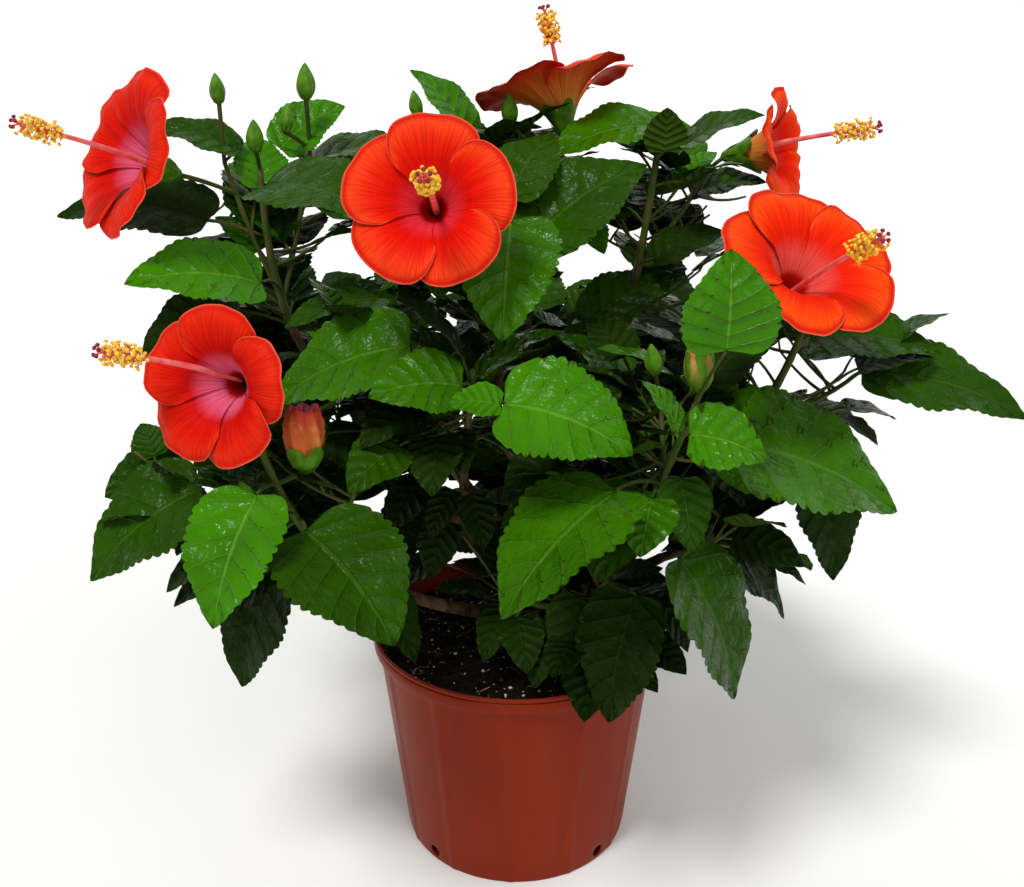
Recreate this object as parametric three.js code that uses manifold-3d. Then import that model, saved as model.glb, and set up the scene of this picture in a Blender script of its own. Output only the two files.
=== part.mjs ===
// A hibiscus shrub in a round nursery pot.
// Lengths are millimetres and angles are degrees. +Z is up and the pot stands on z = 0.
// A heading turns from +X (0) towards +Y (90). A rise is the angle above the horizontal.

import * as THREE from 'three';
import Module from 'manifold-3d';

const wasm = await Module();
wasm.setup();
const { Manifold, Mesh } = wasm;

// ---------------------------------------------------------------- sizes

const GAP = 0.3; // between parts that meet
const POT = {
  height: 184,
  rimRadius: 115,
  rimTall: 12.5,
  rimStep: 2.8,
  shoulderRadius: 111.6,
  footRadius: 92.5,
  wall: 2.2,
  floor: 3,
  sides: 36,
  panels: 12,
  panelDip: 1,
  panelTurn: -3,
  holes: 4,
  holeRadius: 5,
  holeHeight: 9,
};
const SOIL = { top: 170, edge: 167.5, mound: 0.6, flatRadius: 34 };
const TRUNK = {
  foot: [5, 10],
  fork: [4, 2, 222],
  footRadius: 20,
  stemRadius: 14,
  forkRadius: 11,
  sides: 10,
};
const BOUGH_TIP_RADIUS = 3.6;
const STEM = { base: 3.5, tip: 2.2, steps: 4, sides: 5 };
const TWIG = { base: 1.8, tip: 1.6, steps: 3, sides: 4, sag: 0.12 };
const STALK = { foot: 1, radius: 1.2 };
const LEAF = {
  share: 0.36, // half of the width, of the length
  droop: 38, // how much the midrib curves down from base to tip
  cup: 0.12, // how far the edges stand above the midrib, of the half width
  thinnest: 1.3,
  thickness: 1 / 70, // of the length
  longFrom: 84, // a leaf this long has one more station
};
const BLOOM = {
  petals: 5,
  sidesPerPetal: 3,
  notch: 0.16,
  ruffle: 2.2,
  petal: 1.6,
  column: 108,
};
const BUD = { sides: 5, girth: 0.16, leastRadius: 4.2 };

// How much room a thing keeps around its sample points.
const ROOM = {
  spacing: 8,
  leaf: 4.5,
  petal: 4.5,
  stalk: 1.6,
  apart: 2, // more than that between different masses
  own: -3, // less than that inside one mass
  overPot: 3,
};
const GOLDEN_TURN = 137.5;

// Limbs in the order they grow: [mass it carries, limb it leaves, where along it, base radius, sag].
const BOUGHS = [
  ['crown_top', 'trunk', 1, 8.6, [0, 14, 0]],
  ['crown_left', 'trunk', 0.9, 7.6, [8, 2, -26]],
  ['crown_right', 'crown_top', 0.12, 7.4, [10, 0, -16]],
  ['back_centre', 'trunk', 0.78, 6.8, [0, 14, -20]],
  ['centre_left', 'trunk', 0.82, 6.2, [-2, -8, -6]],
  ['right_low', 'trunk', 0.86, 6.6, [8, -6, -12]],
  ['low_left', 'trunk', 0.55, 6.4, [-8, -4, -12]],
  ['low_front', 'trunk', 0.4, 5.4, [4, -10, -3]],
  ['back_low', 'trunk', 0.35, 5.4, [0, 10, -4]],
  ['centre_top', 'crown_top', 0.42, 5.4, [-4, -12, -8]],
  ['right_top', 'crown_right', 0.34, 5.6, [10, -8, -12]],
  ['centre_right', 'right_low', 0.42, 5.2, [2, -8, -10]],
  ['side_right', 'crown_right', 0.46, 5.4, [8, 10, -10]],
  ['side_left', 'crown_left', 0.42, 5.4, [-6, 10, -10]],
  ['back_left', 'back_centre', 0.3, 5.2, [-8, 12, -10]],
  ['back_right', 'back_centre', 0.36, 5.2, [10, 12, -10]],
];

// The masses. A stem runs from foot over bend to tip, and twigs leave it: [where along it, tip].
//   leaf:  [base, heading, rise, length, roll, half width of the length (LEAF.share if left out)]
//   bloom: [base, heading, rise, spread (1 when wide open), reach of the petals (1 is 57 mm),
//           heading, rise and share of full length of a column that leaves the corolla's own way]
//   bud:   [base, heading, rise, length]
//   fill:  [how many leaves grow by rule, from heading, to heading, length]
const MASSES = [
  {
    name: 'crown_left', foot: [-120, 0, 372], bend: [-178, -6, 400], tip: [-180, 8, 538],
    twigs: [[0.62, [-206, 14, 542]], [0.6, [-150, 42, 548]]],
    leaves: [
      [[-218, 2, 503], 172, 0, 116, -26, 0.3], [[-196, 18, 549], 186, 14, 66, -25, 0.3],
      [[-172, 44, 548], 20, 30, 58, 40, 0.4], [[-158, 64, 534], 350, 10, 84, 15],
      [[-172, -16, 530], 326, -8, 100, 20], [[-172, -50, 470], 208, 5, 90, -30],
      [[-212, -24, 446], 190, -34, 66, -35], [[-196, -50, 456], 235, -64, 62, 0],
    ],
    blooms: [[[-229, -24, 538], 222, 24, 1, 1, [222, 21, 1.05]]],
    buds: [[[-205, 10, 582], 170, 86, 20], [[-149, 32, 583], 80, 85, 25],
      [[-178, -8, 551], 250, 88, 22], [[-163, 20, 562], 60, 74, 18]],
    fill: [8, 30, 150, 66],
  },
  {
    name: 'low_left', foot: [-100, -84, 262], bend: [-140, -130, 300], tip: [-156, -158, 392],
    twigs: [[0.45, [-206, -108, 336]], [0.4, [-104, -120, 352]]],
    leaves: [
      [[-228, -84, 346], 205, -10, 54, -60, 0.42], [[-204, -130, 354], 196, -38, 94, -30, 0.38],
      [[-154, -186, 373], 243, -55, 82, 0, 0.42], [[-168, -98, 278], 228, -66, 86, 0, 0.45],
      [[-126, -186, 350], 321, -36, 90, 12, 0.46], [[-98, -94, 262], 336, -62, 62, 0],
    ],
    blooms: [[[-163, -135, 426], 248, 12, 1, 0.85, [220, 22, 0.95]]],
    buds: [[[-164, -160, 356], 220, 70, 18], [[-131, -150, 373], 84, 84, 46]],
    fill: [11, 60, 230, 60],
  },
  {
    name: 'side_left', foot: [-130, 50, 322], bend: [-175, 70, 330], tip: [-212, 84, 378],
    twigs: [[0.5, [-176, 104, 412]]],
    leaves: [], blooms: [], buds: [],
    fill: [24, 80, 270, 76],
  },
  {
    name: 'centre_left', foot: [-40, -44, 286], bend: [-38, -64, 340], tip: [-28, -116, 428],
    twigs: [[0.55, [-70, -100, 425]], [0.5, [-96, -60, 440]]],
    leaves: [
      [[-68, -110, 443], 190, -24, 98, -34], [[-34, -134, 424], 188, -2, 60, -38, 0.4],
      [[-24, -112, 424], 12, 26, 60, 0], [[-8, -172, 425], 345, -18, 82, 32, 0.45],
      [[-129, -100, 380], 334, -36, 64, 10], [[18, -120, 386], 2, -28, 70, 0],
      [[-82, -42, 458], 196, -12, 80, -10], [[-44, -72, 328], 225, -55, 40, 0],
      [[-32, -84, 330], 300, -62, 40, 0], [[-10, -172, 424], 180, 0, 32, -20, 0.5],
      [[-66, -30, 318], 226, -40, 50, 0, 0.45],
    ],
    blooms: [], buds: [],
    fill: [14, 40, 210, 62],
  },
  {
    name: 'centre_top', foot: [-14, -40, 380], bend: [-10, -50, 440], tip: [-12, -74, 512],
    twigs: [[0.6, [-60, -40, 520]]],
    leaves: [
      [[8, -72, 500], 24, 28, 98, 30], [[-4, -84, 517], 264, -62, 84, 0, 0.4],
      [[-24, -60, 470], 150, -20, 74, 0], [[0, -40, 470], 60, -10, 60, 0],
    ],
    blooms: [[[-49, -103, 523], 266, 21, 1, 0.9, [270, 20, 1]]], buds: [],
    fill: [11, 60, 210, 60],
  },
  {
    name: 'crown_top', foot: [8, 24, 430], bend: [10, 30, 490], tip: [14, 46, 544],
    twigs: [[0.7, [-66, 30, 556]]],
    leaves: [
      [[-36, 66, 556], 168, 46, 64, -20], [[30, 30, 500], 300, -15, 64, 0],
      [[10, 60, 520], 80, 10, 76, 0],
    ],
    blooms: [[[36, 52, 556], 130, 70, 1, 1.04, [205, 78, 0.86]]],
    buds: [[[-4, 36, 566], 230, 80, 22], [[-70, 30, 572], 170, 80, 18]],
    fill: [10, 30, 160, 58],
  },
  {
    name: 'crown_right', foot: [78, 20, 400], bend: [88, 20, 450], tip: [98, 8, 548],
    twigs: [[0.55, [140, 40, 534]]],
    leaves: [
      [[98, 24, 567], 192, -16, 82, -20], [[112, 0, 552], 350, 23, 62, 20],
      [[118, -2, 530], 328, 20, 44, 0], [[128, 42, 516], 348, 20, 56, 20],
      [[52, 2, 430], 14, 22, 80, 20], [[86, 30, 440], 150, 10, 60, 0],
      [[100, -16, 552], 256, 80, 30, 0, 0.5], [[98, 0, 476], 8, 18, 58, 20],
    ],
    blooms: [[[152, 42, 543], 332, 10, 0.78, 0.95, [330, 13, 1.06]]], buds: [],
    fill: [10, 20, 160, 60],
  },
  {
    name: 'right_top', foot: [150, -30, 344], bend: [178, -46, 370], tip: [196, -56, 446],
    twigs: [[0.3, [236, -30, 394]]],
    leaves: [
      [[206, -30, 426], 347, -4, 90, 20], [[242, -40, 404], 350, -14, 120, 30, 0.27],
      [[216, 10, 400], 20, 0, 70, 0], [[170, -20, 410], 150, 10, 60, 0],
    ],
    blooms: [[[170, -88, 467], 291, 50, 1, 1.01, [292, 32, 1]]], buds: [[[192, -58, 456], 20, 70, 30]],
    fill: [12, 0, 140, 60],
  },
  {
    name: 'centre_right', foot: [80, -96, 290], bend: [88, -130, 350], tip: [104, -172, 424],
    twigs: [[0.6, [92, -110, 408]]],
    leaves: [
      [[98, -190, 412], 350, -16, 47, 35, 0.5], [[93, -186, 412], 150, 50, 38, 0, 0.46],
      [[108, -92, 410], 190, 26, 66, 0], [[57, -186, 376], 213, -38, 102, 5, 0.48],
      [[101, -148, 368], 284, -60, 48, 0], [[86, -56, 390], 154, 30, 78, 0],
      [[80, -180, 368], 250, -46, 38, 0, 0.5], [[116, -190, 462], 96, 84, 57, 0, 0.5],
    ],
    blooms: [], buds: [[[106, -170, 432], 180, 86, 38], [[85, -130, 430], 180, 80, 20]],
    fill: [12, 30, 200, 56],
  },
  {
    name: 'right_low', foot: [104, -66, 272], bend: [150, -80, 296], tip: [196, -72, 346],
    twigs: [[0.35, [118, -140, 318]]],
    leaves: [
      [[132, -112, 379], 350, -20, 124, 18, 0.48], [[208, -62, 340], 300, -68, 82, 0],
      [[102, -162, 320], 328, -65, 100, 0, 0.45], [[147, -98, 296], 342, -51, 64, 0, 0.42],
      [[159, -58, 300], 338, 36, 38, 0],
    ],
    blooms: [], buds: [],
    fill: [15, 0, 130, 62],
  },
  {
    name: 'low_front', foot: [30, -52, 214], bend: [48, -84, 236], tip: [64, -112, 280],
    twigs: [[0.4, [-10, -72, 246]]],
    leaves: [
      [[79, -132, 278], 230, -73, 92, 0], [[-17, -62, 238], 205, 18, 50, 0],
      [[0, -80, 232], 280, -30, 48, 0], [[20, -90, 222], 290, -40, 40, 0],
      [[44, -100, 260], 250, -60, 56, 0], [[92, -110, 270], 320, -50, 50, 0],
      [[-8, -66, 232], 235, -50, 44, 0], [[30, -66, 300], 262, -40, 50, 0],
      [[-48, -64, 300], 240, -60, 44, 0, 0.45], [[-60, -40, 256], 214, -24, 44, 0, 0.45],
      [[-66, -4, 290], 250, -30, 70, 0, 0.42],
    ],
    blooms: [], buds: [],
    fill: [10, -60, 120, 48],
  },
  {
    name: 'side_right', foot: [136, 50, 306], bend: [186, 70, 318], tip: [222, 80, 346],
    twigs: [[0.5, [172, 100, 376]]],
    leaves: [], blooms: [], buds: [],
    fill: [24, -80, 100, 74],
  },
  {
    name: 'back_left', foot: [-84, 104, 320], bend: [-110, 150, 330], tip: [-130, 180, 372],
    twigs: [[0.5, [-170, 150, 392]]],
    leaves: [], blooms: [[[-146, 198, 340], 122, 4, 1, 0.9]], buds: [],
    fill: [22, 50, 240, 76],
  },
  {
    name: 'back_centre', foot: [4, 130, 310], bend: [8, 170, 330], tip: [4, 190, 352],
    twigs: [[0.5, [-50, 190, 342]]],
    leaves: [], blooms: [[[22, 204, 326], 84, 12, 1, 0.9]], buds: [],
    fill: [24, -10, 190, 76],
  },
  {
    name: 'back_right', foot: [96, 104, 320], bend: [118, 146, 330], tip: [140, 176, 368],
    twigs: [[0.5, [176, 150, 366]]],
    leaves: [], blooms: [], buds: [[[140, 180, 374], 70, 80, 34]],
    fill: [21, -60, 120, 76],
  },
  {
    name: 'back_low', foot: [20, 90, 230], bend: [20, 130, 240], tip: [30, 166, 270],
    twigs: [[0.4, [-50, 156, 270]]],
    leaves: [[[-14, 100, 226], 192, -20, 62, -40, 0.48]], blooms: [], buds: [],
    fill: [18, 10, 170, 70],
  },
];

// Openings through the crown that ruled leaves leave free: [from, to, radius].
const OPENINGS = [
  [[28, -120, 478], [45, 200, 410], 9],
  [[50, -120, 492], [79, 200, 434], 12],
  [[160, -130, 434], [250, 220, 326], 16],
  [[190, -130, 431], [294, 220, 325], 12],
  [[-103, -130, 500], [-153, 200, 434], 16],
  [[144, -60, 523], [197, 200, 485], 13],
  [[186, -100, 314], [255, 150, 198], 15],
  [[80, 10, 606], [96, 10, 592], 9],
  [[-94, 36, 588], [-86, 44, 590], 8],
];

// ---------------------------------------------------------------- vectors and chance

const RADIANS = Math.PI / 180;
const along = (point, way, far) => point.map((v, i) => v + way[i] * far);
const minus = (a, b) => a.map((v, i) => v - b[i]);
const dot = (a, b) => a[0] * b[0] + a[1] * b[1] + a[2] * b[2];
const size = (a) => Math.sqrt(dot(a, a));
const unit = (a) => a.map((v) => v / size(a));
const middle = (a, b) => a.map((v, i) => (v + b[i]) / 2);
const squaredGap = (a, b) => (a[0] - b[0]) ** 2 + (a[1] - b[1]) ** 2 + (a[2] - b[2]) ** 2;
const cross = (a, b) => [
  a[1] * b[2] - a[2] * b[1],
  a[2] * b[0] - a[0] * b[2],
  a[0] * b[1] - a[1] * b[0],
];

/** The direction with this heading and rise. */
function wayOf(heading, rise) {
  const flat = Math.cos(rise * RADIANS);
  return [
    flat * Math.cos(heading * RADIANS),
    flat * Math.sin(heading * RADIANS),
    Math.sin(rise * RADIANS),
  ];
}

/** A point on the curve from a to c that is drawn towards b. */
function onCurve(a, b, c, t) {
  const u = 1 - t;
  return a.map((v, i) => v * u * u + 2 * b[i] * t * u + c[i] * t * t);
}

/** Chance with a seed: each call gives the next number from 0 to 1. */
function seededChance(seed) {
  let state = seed * 7919 + 101;
  const next = () => {
    state = (state * 48271) % 2147483647;
    return state / 2147483647;
  };
  next();
  next();
  next();
  return next;
}

// ---------------------------------------------------------------- solids

/** Closed solid through rings of points. A first or last ring of one point is an apex. */
function loft(rings) {
  const points = rings.flat();
  const faces = [];
  let start = 0;
  const capped = (ring) => ring.length > 1;
  const first = rings[0];
  if (capped(first)) {
    for (let i = 1; i < first.length - 1; i++) faces.push([0, i + 1, i]);
  }
  for (let k = 0; k < rings.length - 1; k++) {
    const here = rings[k].length;
    const there = rings[k + 1].length;
    const count = Math.max(here, there);
    const next = start + here;
    for (let i = 0; i < count; i++) {
      const j = (i + 1) % count;
      if (here > 1) faces.push([start + i, start + j, next + (there > 1 ? j : 0)]);
      if (there > 1) faces.push([start + (here > 1 ? i : 0), next + j, next + i]);
    }
    start = next;
  }
  const last = rings[rings.length - 1];
  if (capped(last)) {
    for (let i = 1; i < last.length - 1; i++) faces.push([start, start + i, start + i + 1]);
  }
  return new Manifold(new Mesh({
    numProp: 3,
    vertProperties: Float32Array.from(points.flat()),
    triVerts: Uint32Array.from(faces.flat()),
  }));
}

/** The joined body of many solids: the piece that holds most, so no crumb is left beside it. */
function fuse(solids) {
  const pieces = Manifold.union(solids).decompose();
  return pieces.reduce((best, piece) => (piece.volume() > best.volume() ? piece : best));
}

/** Rings across a path, each turned as little as can be from the one before. */
function tubeRings(path, radii, sides) {
  const last = path.length - 1;
  let side = null;
  return path.map((point, k) => {
    const way = unit(minus(path[Math.min(k + 1, last)], path[Math.max(k - 1, 0)]));
    side ??= Math.abs(way[2]) > 0.9 ? [1, 0, 0] : [0, 0, 1];
    side = unit(along(side, way, -dot(side, way)));
    const up = cross(way, side);
    return Array.from({ length: sides }, (_, i) => {
      const angle = (2 * Math.PI * i) / sides;
      const out = along(side.map((v) => v * Math.cos(angle)), up, Math.sin(angle));
      return along(point, out, radii[k]);
    });
  });
}

const tube = (path, radii, sides) => loft(tubeRings(path, radii, sides));

/** Round solid about the z axis from [radius, height, dip of the panels] rows; radius 0 is an apex. */
function turned(rows) {
  return loft(rows.map(([radius, z, dip = 0]) => {
    if (radius === 0) return [[0, 0, z]];
    return Array.from({ length: POT.sides }, (_, i) => {
      const perPanel = POT.sides / POT.panels;
      const out = radius - (i % perPanel === 0 ? 0 : dip);
      const angle = ((i * 360) / POT.sides + POT.panelTurn - 90) * RADIANS;
      return [out * Math.cos(angle), out * Math.sin(angle), z];
    });
  }));
}

// ---------------------------------------------------------------- pot and soil

const potInnerRadius = (z) => {
  const low = POT.footRadius - POT.wall;
  const high = POT.shoulderRadius - POT.wall - 0.6;
  return low + ((high - low) * (z - POT.floor)) / (SOIL.edge - POT.floor);
};

function pot() {
  const shoulder = POT.height - POT.rimTall;
  const rim = POT.rimRadius;
  const cup = turned([
    [0, 0],
    [POT.footRadius - 1.5, 0],
    [POT.footRadius, 2, POT.panelDip],
    [POT.shoulderRadius, shoulder, POT.panelDip],
    [POT.shoulderRadius + POT.rimStep, shoulder],
    [rim, POT.height],
    [rim - POT.wall, POT.height],
    [potInnerRadius(SOIL.edge), SOIL.edge],
    [potInnerRadius(POT.floor), POT.floor],
    [0, POT.floor],
  ]);
  const holes = Array.from({ length: POT.holes }, (_, i) => {
    const way = wayOf(45 + (i * 360) / POT.holes, 0);
    const ends = [POT.footRadius - 6, POT.footRadius + 6].map((far) =>
      along([0, 0, POT.holeHeight], way, far));
    return tube(ends, [POT.holeRadius, POT.holeRadius], 6);
  });
  return cup.subtract(Manifold.union(holes));
}

function soil() {
  const foot = POT.floor + GAP;
  return turned([
    [0, foot],
    [potInnerRadius(foot) - GAP, foot],
    [potInnerRadius(SOIL.edge) - GAP, SOIL.edge],
    [80, SOIL.top + SOIL.mound],
    [SOIL.flatRadius, SOIL.top],
    [0, SOIL.top],
  ]);
}

// ---------------------------------------------------------------- trunk and boughs

/** The trunk's axis and radii from just under the soil's face to the fork. */
function trunkLine() {
  const foot = SOIL.top - 4;
  const [x, y] = TRUNK.foot;
  const [forkX, forkY, forkZ] = TRUNK.fork;
  const shares = [0, 0.1, 0.3, 0.65, 1];
  const radii = [TRUNK.footRadius, 16.5, TRUNK.stemRadius, 12.2, TRUNK.forkRadius];
  const path = shares.map((t) => [
    x + (forkX - x) * t,
    y + (forkY - y) * t,
    foot + (forkZ - foot) * t,
  ]);
  return { path, radii, sides: TRUNK.sides };
}

/** The point this share of the way along a path. */
function partWay(path, share) {
  const place = share * (path.length - 1);
  const k = Math.min(Math.floor(place), path.length - 2);
  return along(path[k], minus(path[k + 1], path[k]), place - k);
}

/** A bough's axis and radii from inside the limb it leaves to the foot of its mass. */
function boughLine([mass, parent, share, radius, sag], limbs) {
  const steps = 4;
  const start = partWay(limbs[parent].path, share);
  const end = MASSES.find((m) => m.name === mass).foot;
  const bend = along(middle(start, end), sag, 1);
  const ts = Array.from({ length: steps + 1 }, (_, k) => k / steps);
  return {
    path: ts.map((t) => onCurve(start, bend, end, t)),
    radii: ts.map((t) => radius + (BOUGH_TIP_RADIUS - radius) * t ** 0.8),
    sides: 5,
  };
}

/** The solid of a limb, grown by more all round. */
function limbSolid({ path, radii, sides }, more = 0) {
  const ends = [...path];
  const last = path.length - 1;
  ends[0] = along(path[0], unit(minus(path[0], path[1])), more);
  ends[last] = along(path[last], unit(minus(path[last], path[last - 1])), more);
  return tube(ends, radii.map((r) => r + more), sides);
}

// ---------------------------------------------------------------- rule of growth

/** The stem of a mass and its twigs, each a path. */
function stemPaths(mass) {
  const path = (a, b, c, steps) =>
    Array.from({ length: steps + 1 }, (_, k) => onCurve(a, b, c, k / steps));
  const twigs = mass.twigs.map(([share, tip]) => {
    const start = onCurve(mass.foot, mass.bend, mass.tip, share);
    const bend = along(middle(start, tip), [0, 0, -1], TWIG.sag * size(minus(tip, start)));
    return path(start, bend, tip, TWIG.steps);
  });
  return [path(mass.foot, mass.bend, mass.tip, STEM.steps), ...twigs];
}

/** Points this far apart along a path, ends included. */
function pathSamples(path, spacing) {
  return path.slice(1).flatMap((end, k) => {
    const step = minus(end, path[k]);
    const count = Math.max(1, Math.ceil(size(step) / spacing));
    return Array.from({ length: count }, (_, i) => along(path[k], step, (i + 1) / count));
  });
}

/** Where on its mass's stems a stalk to this base starts: near, below and a little away. */
function stalkFoot(mass, base, reach) {
  let best = null;
  let least = Infinity;
  for (const path of stemPaths(mass)) {
    for (const point of pathSamples(path, ROOM.spacing)) {
      const far = size(minus(base, point));
      const high = Math.max(0, point[2] - base[2] + 0.3 * far);
      const cost = far + 1.2 * high + 0.8 * Math.max(0, reach - far);
      if (cost < least) {
        least = cost;
        best = point;
      }
    }
  }
  return best;
}

/** Midrib points with the side and up directions of the blade at each. */
function midrib(leaf, steps) {
  const level = [-Math.sin(leaf.heading * RADIANS), Math.cos(leaf.heading * RADIANS), 0];
  const rows = [];
  let point = leaf.base;
  for (let k = 0; k <= steps; k++) {
    const way = wayOf(leaf.heading, leaf.rise + LEAF.droop * (0.5 - k / steps));
    const lift = cross(way, level);
    const turn = leaf.roll * RADIANS;
    const side = along(level.map((v) => v * Math.cos(turn)), lift, Math.sin(turn));
    rows.push({ point, side, up: cross(way, side) });
    const ahead = wayOf(leaf.heading, leaf.rise + LEAF.droop * (0.5 - (k + 0.5) / steps));
    point = along(point, ahead, leaf.length / steps);
  }
  return rows;
}

/** Half of the blade's width at this share of its length: widest near the base, tip drawn out. */
function halfWidth(leaf, share) {
  if (share <= 0 || share >= 1) return 0;
  return leaf.length * leaf.share * Math.sin(Math.PI * share ** 0.6) ** 0.8;
}

function bladeSamples(leaf) {
  const steps = Math.max(3, Math.round(leaf.length / ROOM.spacing));
  return midrib(leaf, steps).flatMap(({ point, side, up }, k) => {
    if (k === 0) return [];
    const half = halfWidth(leaf, (k - 0.2) / steps);
    const count = Math.max(1, Math.floor(half / ROOM.spacing));
    return Array.from({ length: 2 * count + 1 }, (_, i) => {
      const share = (i - count) / count;
      return along(along(point, side, half * share), up, LEAF.cup * half * Math.abs(share));
    });
  });
}

/** Rows of a bloom's skin, calyx first: [radius, distance from its base, how much the petals part]. */
const BLOOM_ROWS = [[9.5, 17, 0], [30, 34, 0.4], [57, 40, 1]];

/** Rows of its column: [distance, radius], bare, then furred with anthers, then the stigma. */
const COLUMN_ROWS = [[12, 2.6], [60, 2], [67, 7], [86, 7.5], [92, 1.8], [100, 1.8], [104, 4.4], [108, 0]];

/** Directions across and along a bloom or bud. */
function axesOf({ heading, rise }) {
  const way = wayOf(heading, rise);
  const side = [-Math.sin(heading * RADIANS), Math.cos(heading * RADIANS), 0];
  return { way, side, up: cross(way, side) };
}

/** A ring of a bloom: lobed like five petals and ruffled as far as they part. */
function bloomRing(bloom, radius, far, part, sides) {
  const { way, side, up } = axesOf(bloom);
  return Array.from({ length: sides }, (_, i) => {
    const angle = (2 * Math.PI * i) / sides + Math.PI / BLOOM.petals;
    const lobe = Math.abs(Math.cos((BLOOM.petals * angle) / 2)) ** 0.6;
    const out = radius * bloom.reach * (1 - (1 - bloom.spread) * Math.min(1, far / 34))
      * (1 - BLOOM.notch * part * (1 - lobe));
    const wave = BLOOM.ruffle * part * Math.cos(BLOOM.petals * 2 * angle);
    const centre = along(bloom.base, way, far * (1.4 - 0.4 * bloom.spread) + wave);
    return along(along(centre, side, out * Math.cos(angle)), up, out * Math.sin(angle));
  });
}

function bloomSamples(bloom) {
  const rings = [[4, 6], [10, 18], [18, 26], [27, 32], [37, 36], [47, 38], [57, 40]];
  const column = Array.from({ length: 7 }, (_, k) =>
    along(bloom.base, bloom.columnWay, ((k + 4) / 10) * BLOOM.column * bloom.columnShare));
  const petals = rings.flatMap(([radius, far]) => {
    const around = Math.max(4, Math.round((2 * Math.PI * radius) / ROOM.spacing));
    return bloomRing(bloom, radius, far, 0, around);
  });
  return [...petals, ...column];
}

/** What has been taken so far, as points with a radius, an owner and a kind. */
class Taken {
  constructor() {
    this.rows = [];
  }

  add(points, radius, owner, kind) {
    for (const point of points) this.rows.push({ point, radius, owner, kind });
  }

  /** Whether these points of an owner keep clear; a stalk may pass its own stems. */
  isFree(points, radius, owner, kind) {
    const centre = middle(points[0], points[points.length - 1]);
    const reach = Math.sqrt(Math.max(...points.map((point) => squaredGap(point, centre))));
    return this.rows.every((row) => {
      const own = row.owner === owner;
      if (own && kind === 'stalk' && row.kind === 'stem') return true;
      const least = radius + row.radius + (own ? ROOM.own : ROOM.apart);
      if (squaredGap(row.point, centre) > (reach + least) ** 2) return true;
      return points.every((point) => squaredGap(row.point, point) > least * least);
    });
  }
}

/** Whether a point would dip into the pot or rest on its rim. */
function dipsIntoPot([x, y, z]) {
  const room = ROOM.leaf + ROOM.overPot;
  return z < POT.height + room && Math.hypot(x, y) < POT.rimRadius + room;
}

/** The outer two thirds of a stalk, as points. */
const stalkSamples = (foot, base) => pathSamples([partWay([foot, base], 0.35), base], 5);

/** Try a leaf with small turns and lifts until one has room; null if none has. */
function settle(makeLeaf, mass, taken, tries) {
  for (const [turn, lift] of tries) {
    const leaf = makeLeaf(turn, lift);
    const blade = bladeSamples(leaf);
    const stalk = stalkSamples(leaf.foot, leaf.base);
    const fits = !blade.some(dipsIntoPot)
      && taken.isFree(blade, ROOM.leaf, mass.name, 'leaf')
      && taken.isFree(stalk, ROOM.stalk, mass.name, 'stalk');
    if (fits) {
      taken.add(blade, ROOM.leaf, mass.name, 'leaf');
      taken.add(stalk, ROOM.stalk, mass.name, 'stalk');
      return leaf;
    }
  }
  return null;
}

const PLACED_TRIES = [[0, 0], [10, 0], [-10, 0], [0, 10], [0, -10], [20, 8], [-20, 8],
  [20, -12], [-20, -12], [34, 0], [-34, 0]];
const FILL_TRIES = [[0, 0], [20, 0], [-20, 0], [40, 8], [-40, 8], [60, -8], [-60, -8],
  [0, 24], [0, -24], [30, 30], [-30, -30]];

/** A leaf with a set place; its stalk finds the stem. */
function placedLeaf(mass, [base, heading, rise, length, roll, share = LEAF.share]) {
  const foot = stalkFoot(mass, base, 0.3 * length);
  return (turn, lift) => ({
    base, foot, length, roll, share, heading: heading + turn, rise: rise + lift,
  });
}

/** The leaf with this number of those that grow by rule, in a spiral up the stems. */
function ruledLeaf(mass, number, chance) {
  const [count, from, to, usual] = mass.fill;
  const paths = stemPaths(mass);
  const path = paths[number % paths.length];
  const share = (Math.floor(number / paths.length) + 0.6) / Math.ceil(count / paths.length);
  const foot = partWay(path, share);
  const spiral = (number * GOLDEN_TURN) % (to - from);
  const heading = from + spiral + 24 * (chance() - 0.5);
  const rise = -35 + 70 * share + 24 * (chance() - 0.5);
  const length = usual * (0.8 + 0.4 * chance());
  const roll = 40 * (chance() - 0.5);
  return (turn, lift) => {
    const way = wayOf(heading + turn, rise + lift + 30);
    return {
      base: along(foot, way, 0.38 * length),
      foot,
      length,
      roll,
      share: LEAF.share,
      heading: heading + turn,
      rise: rise + lift,
      plain: true,
    };
  };
}

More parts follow.
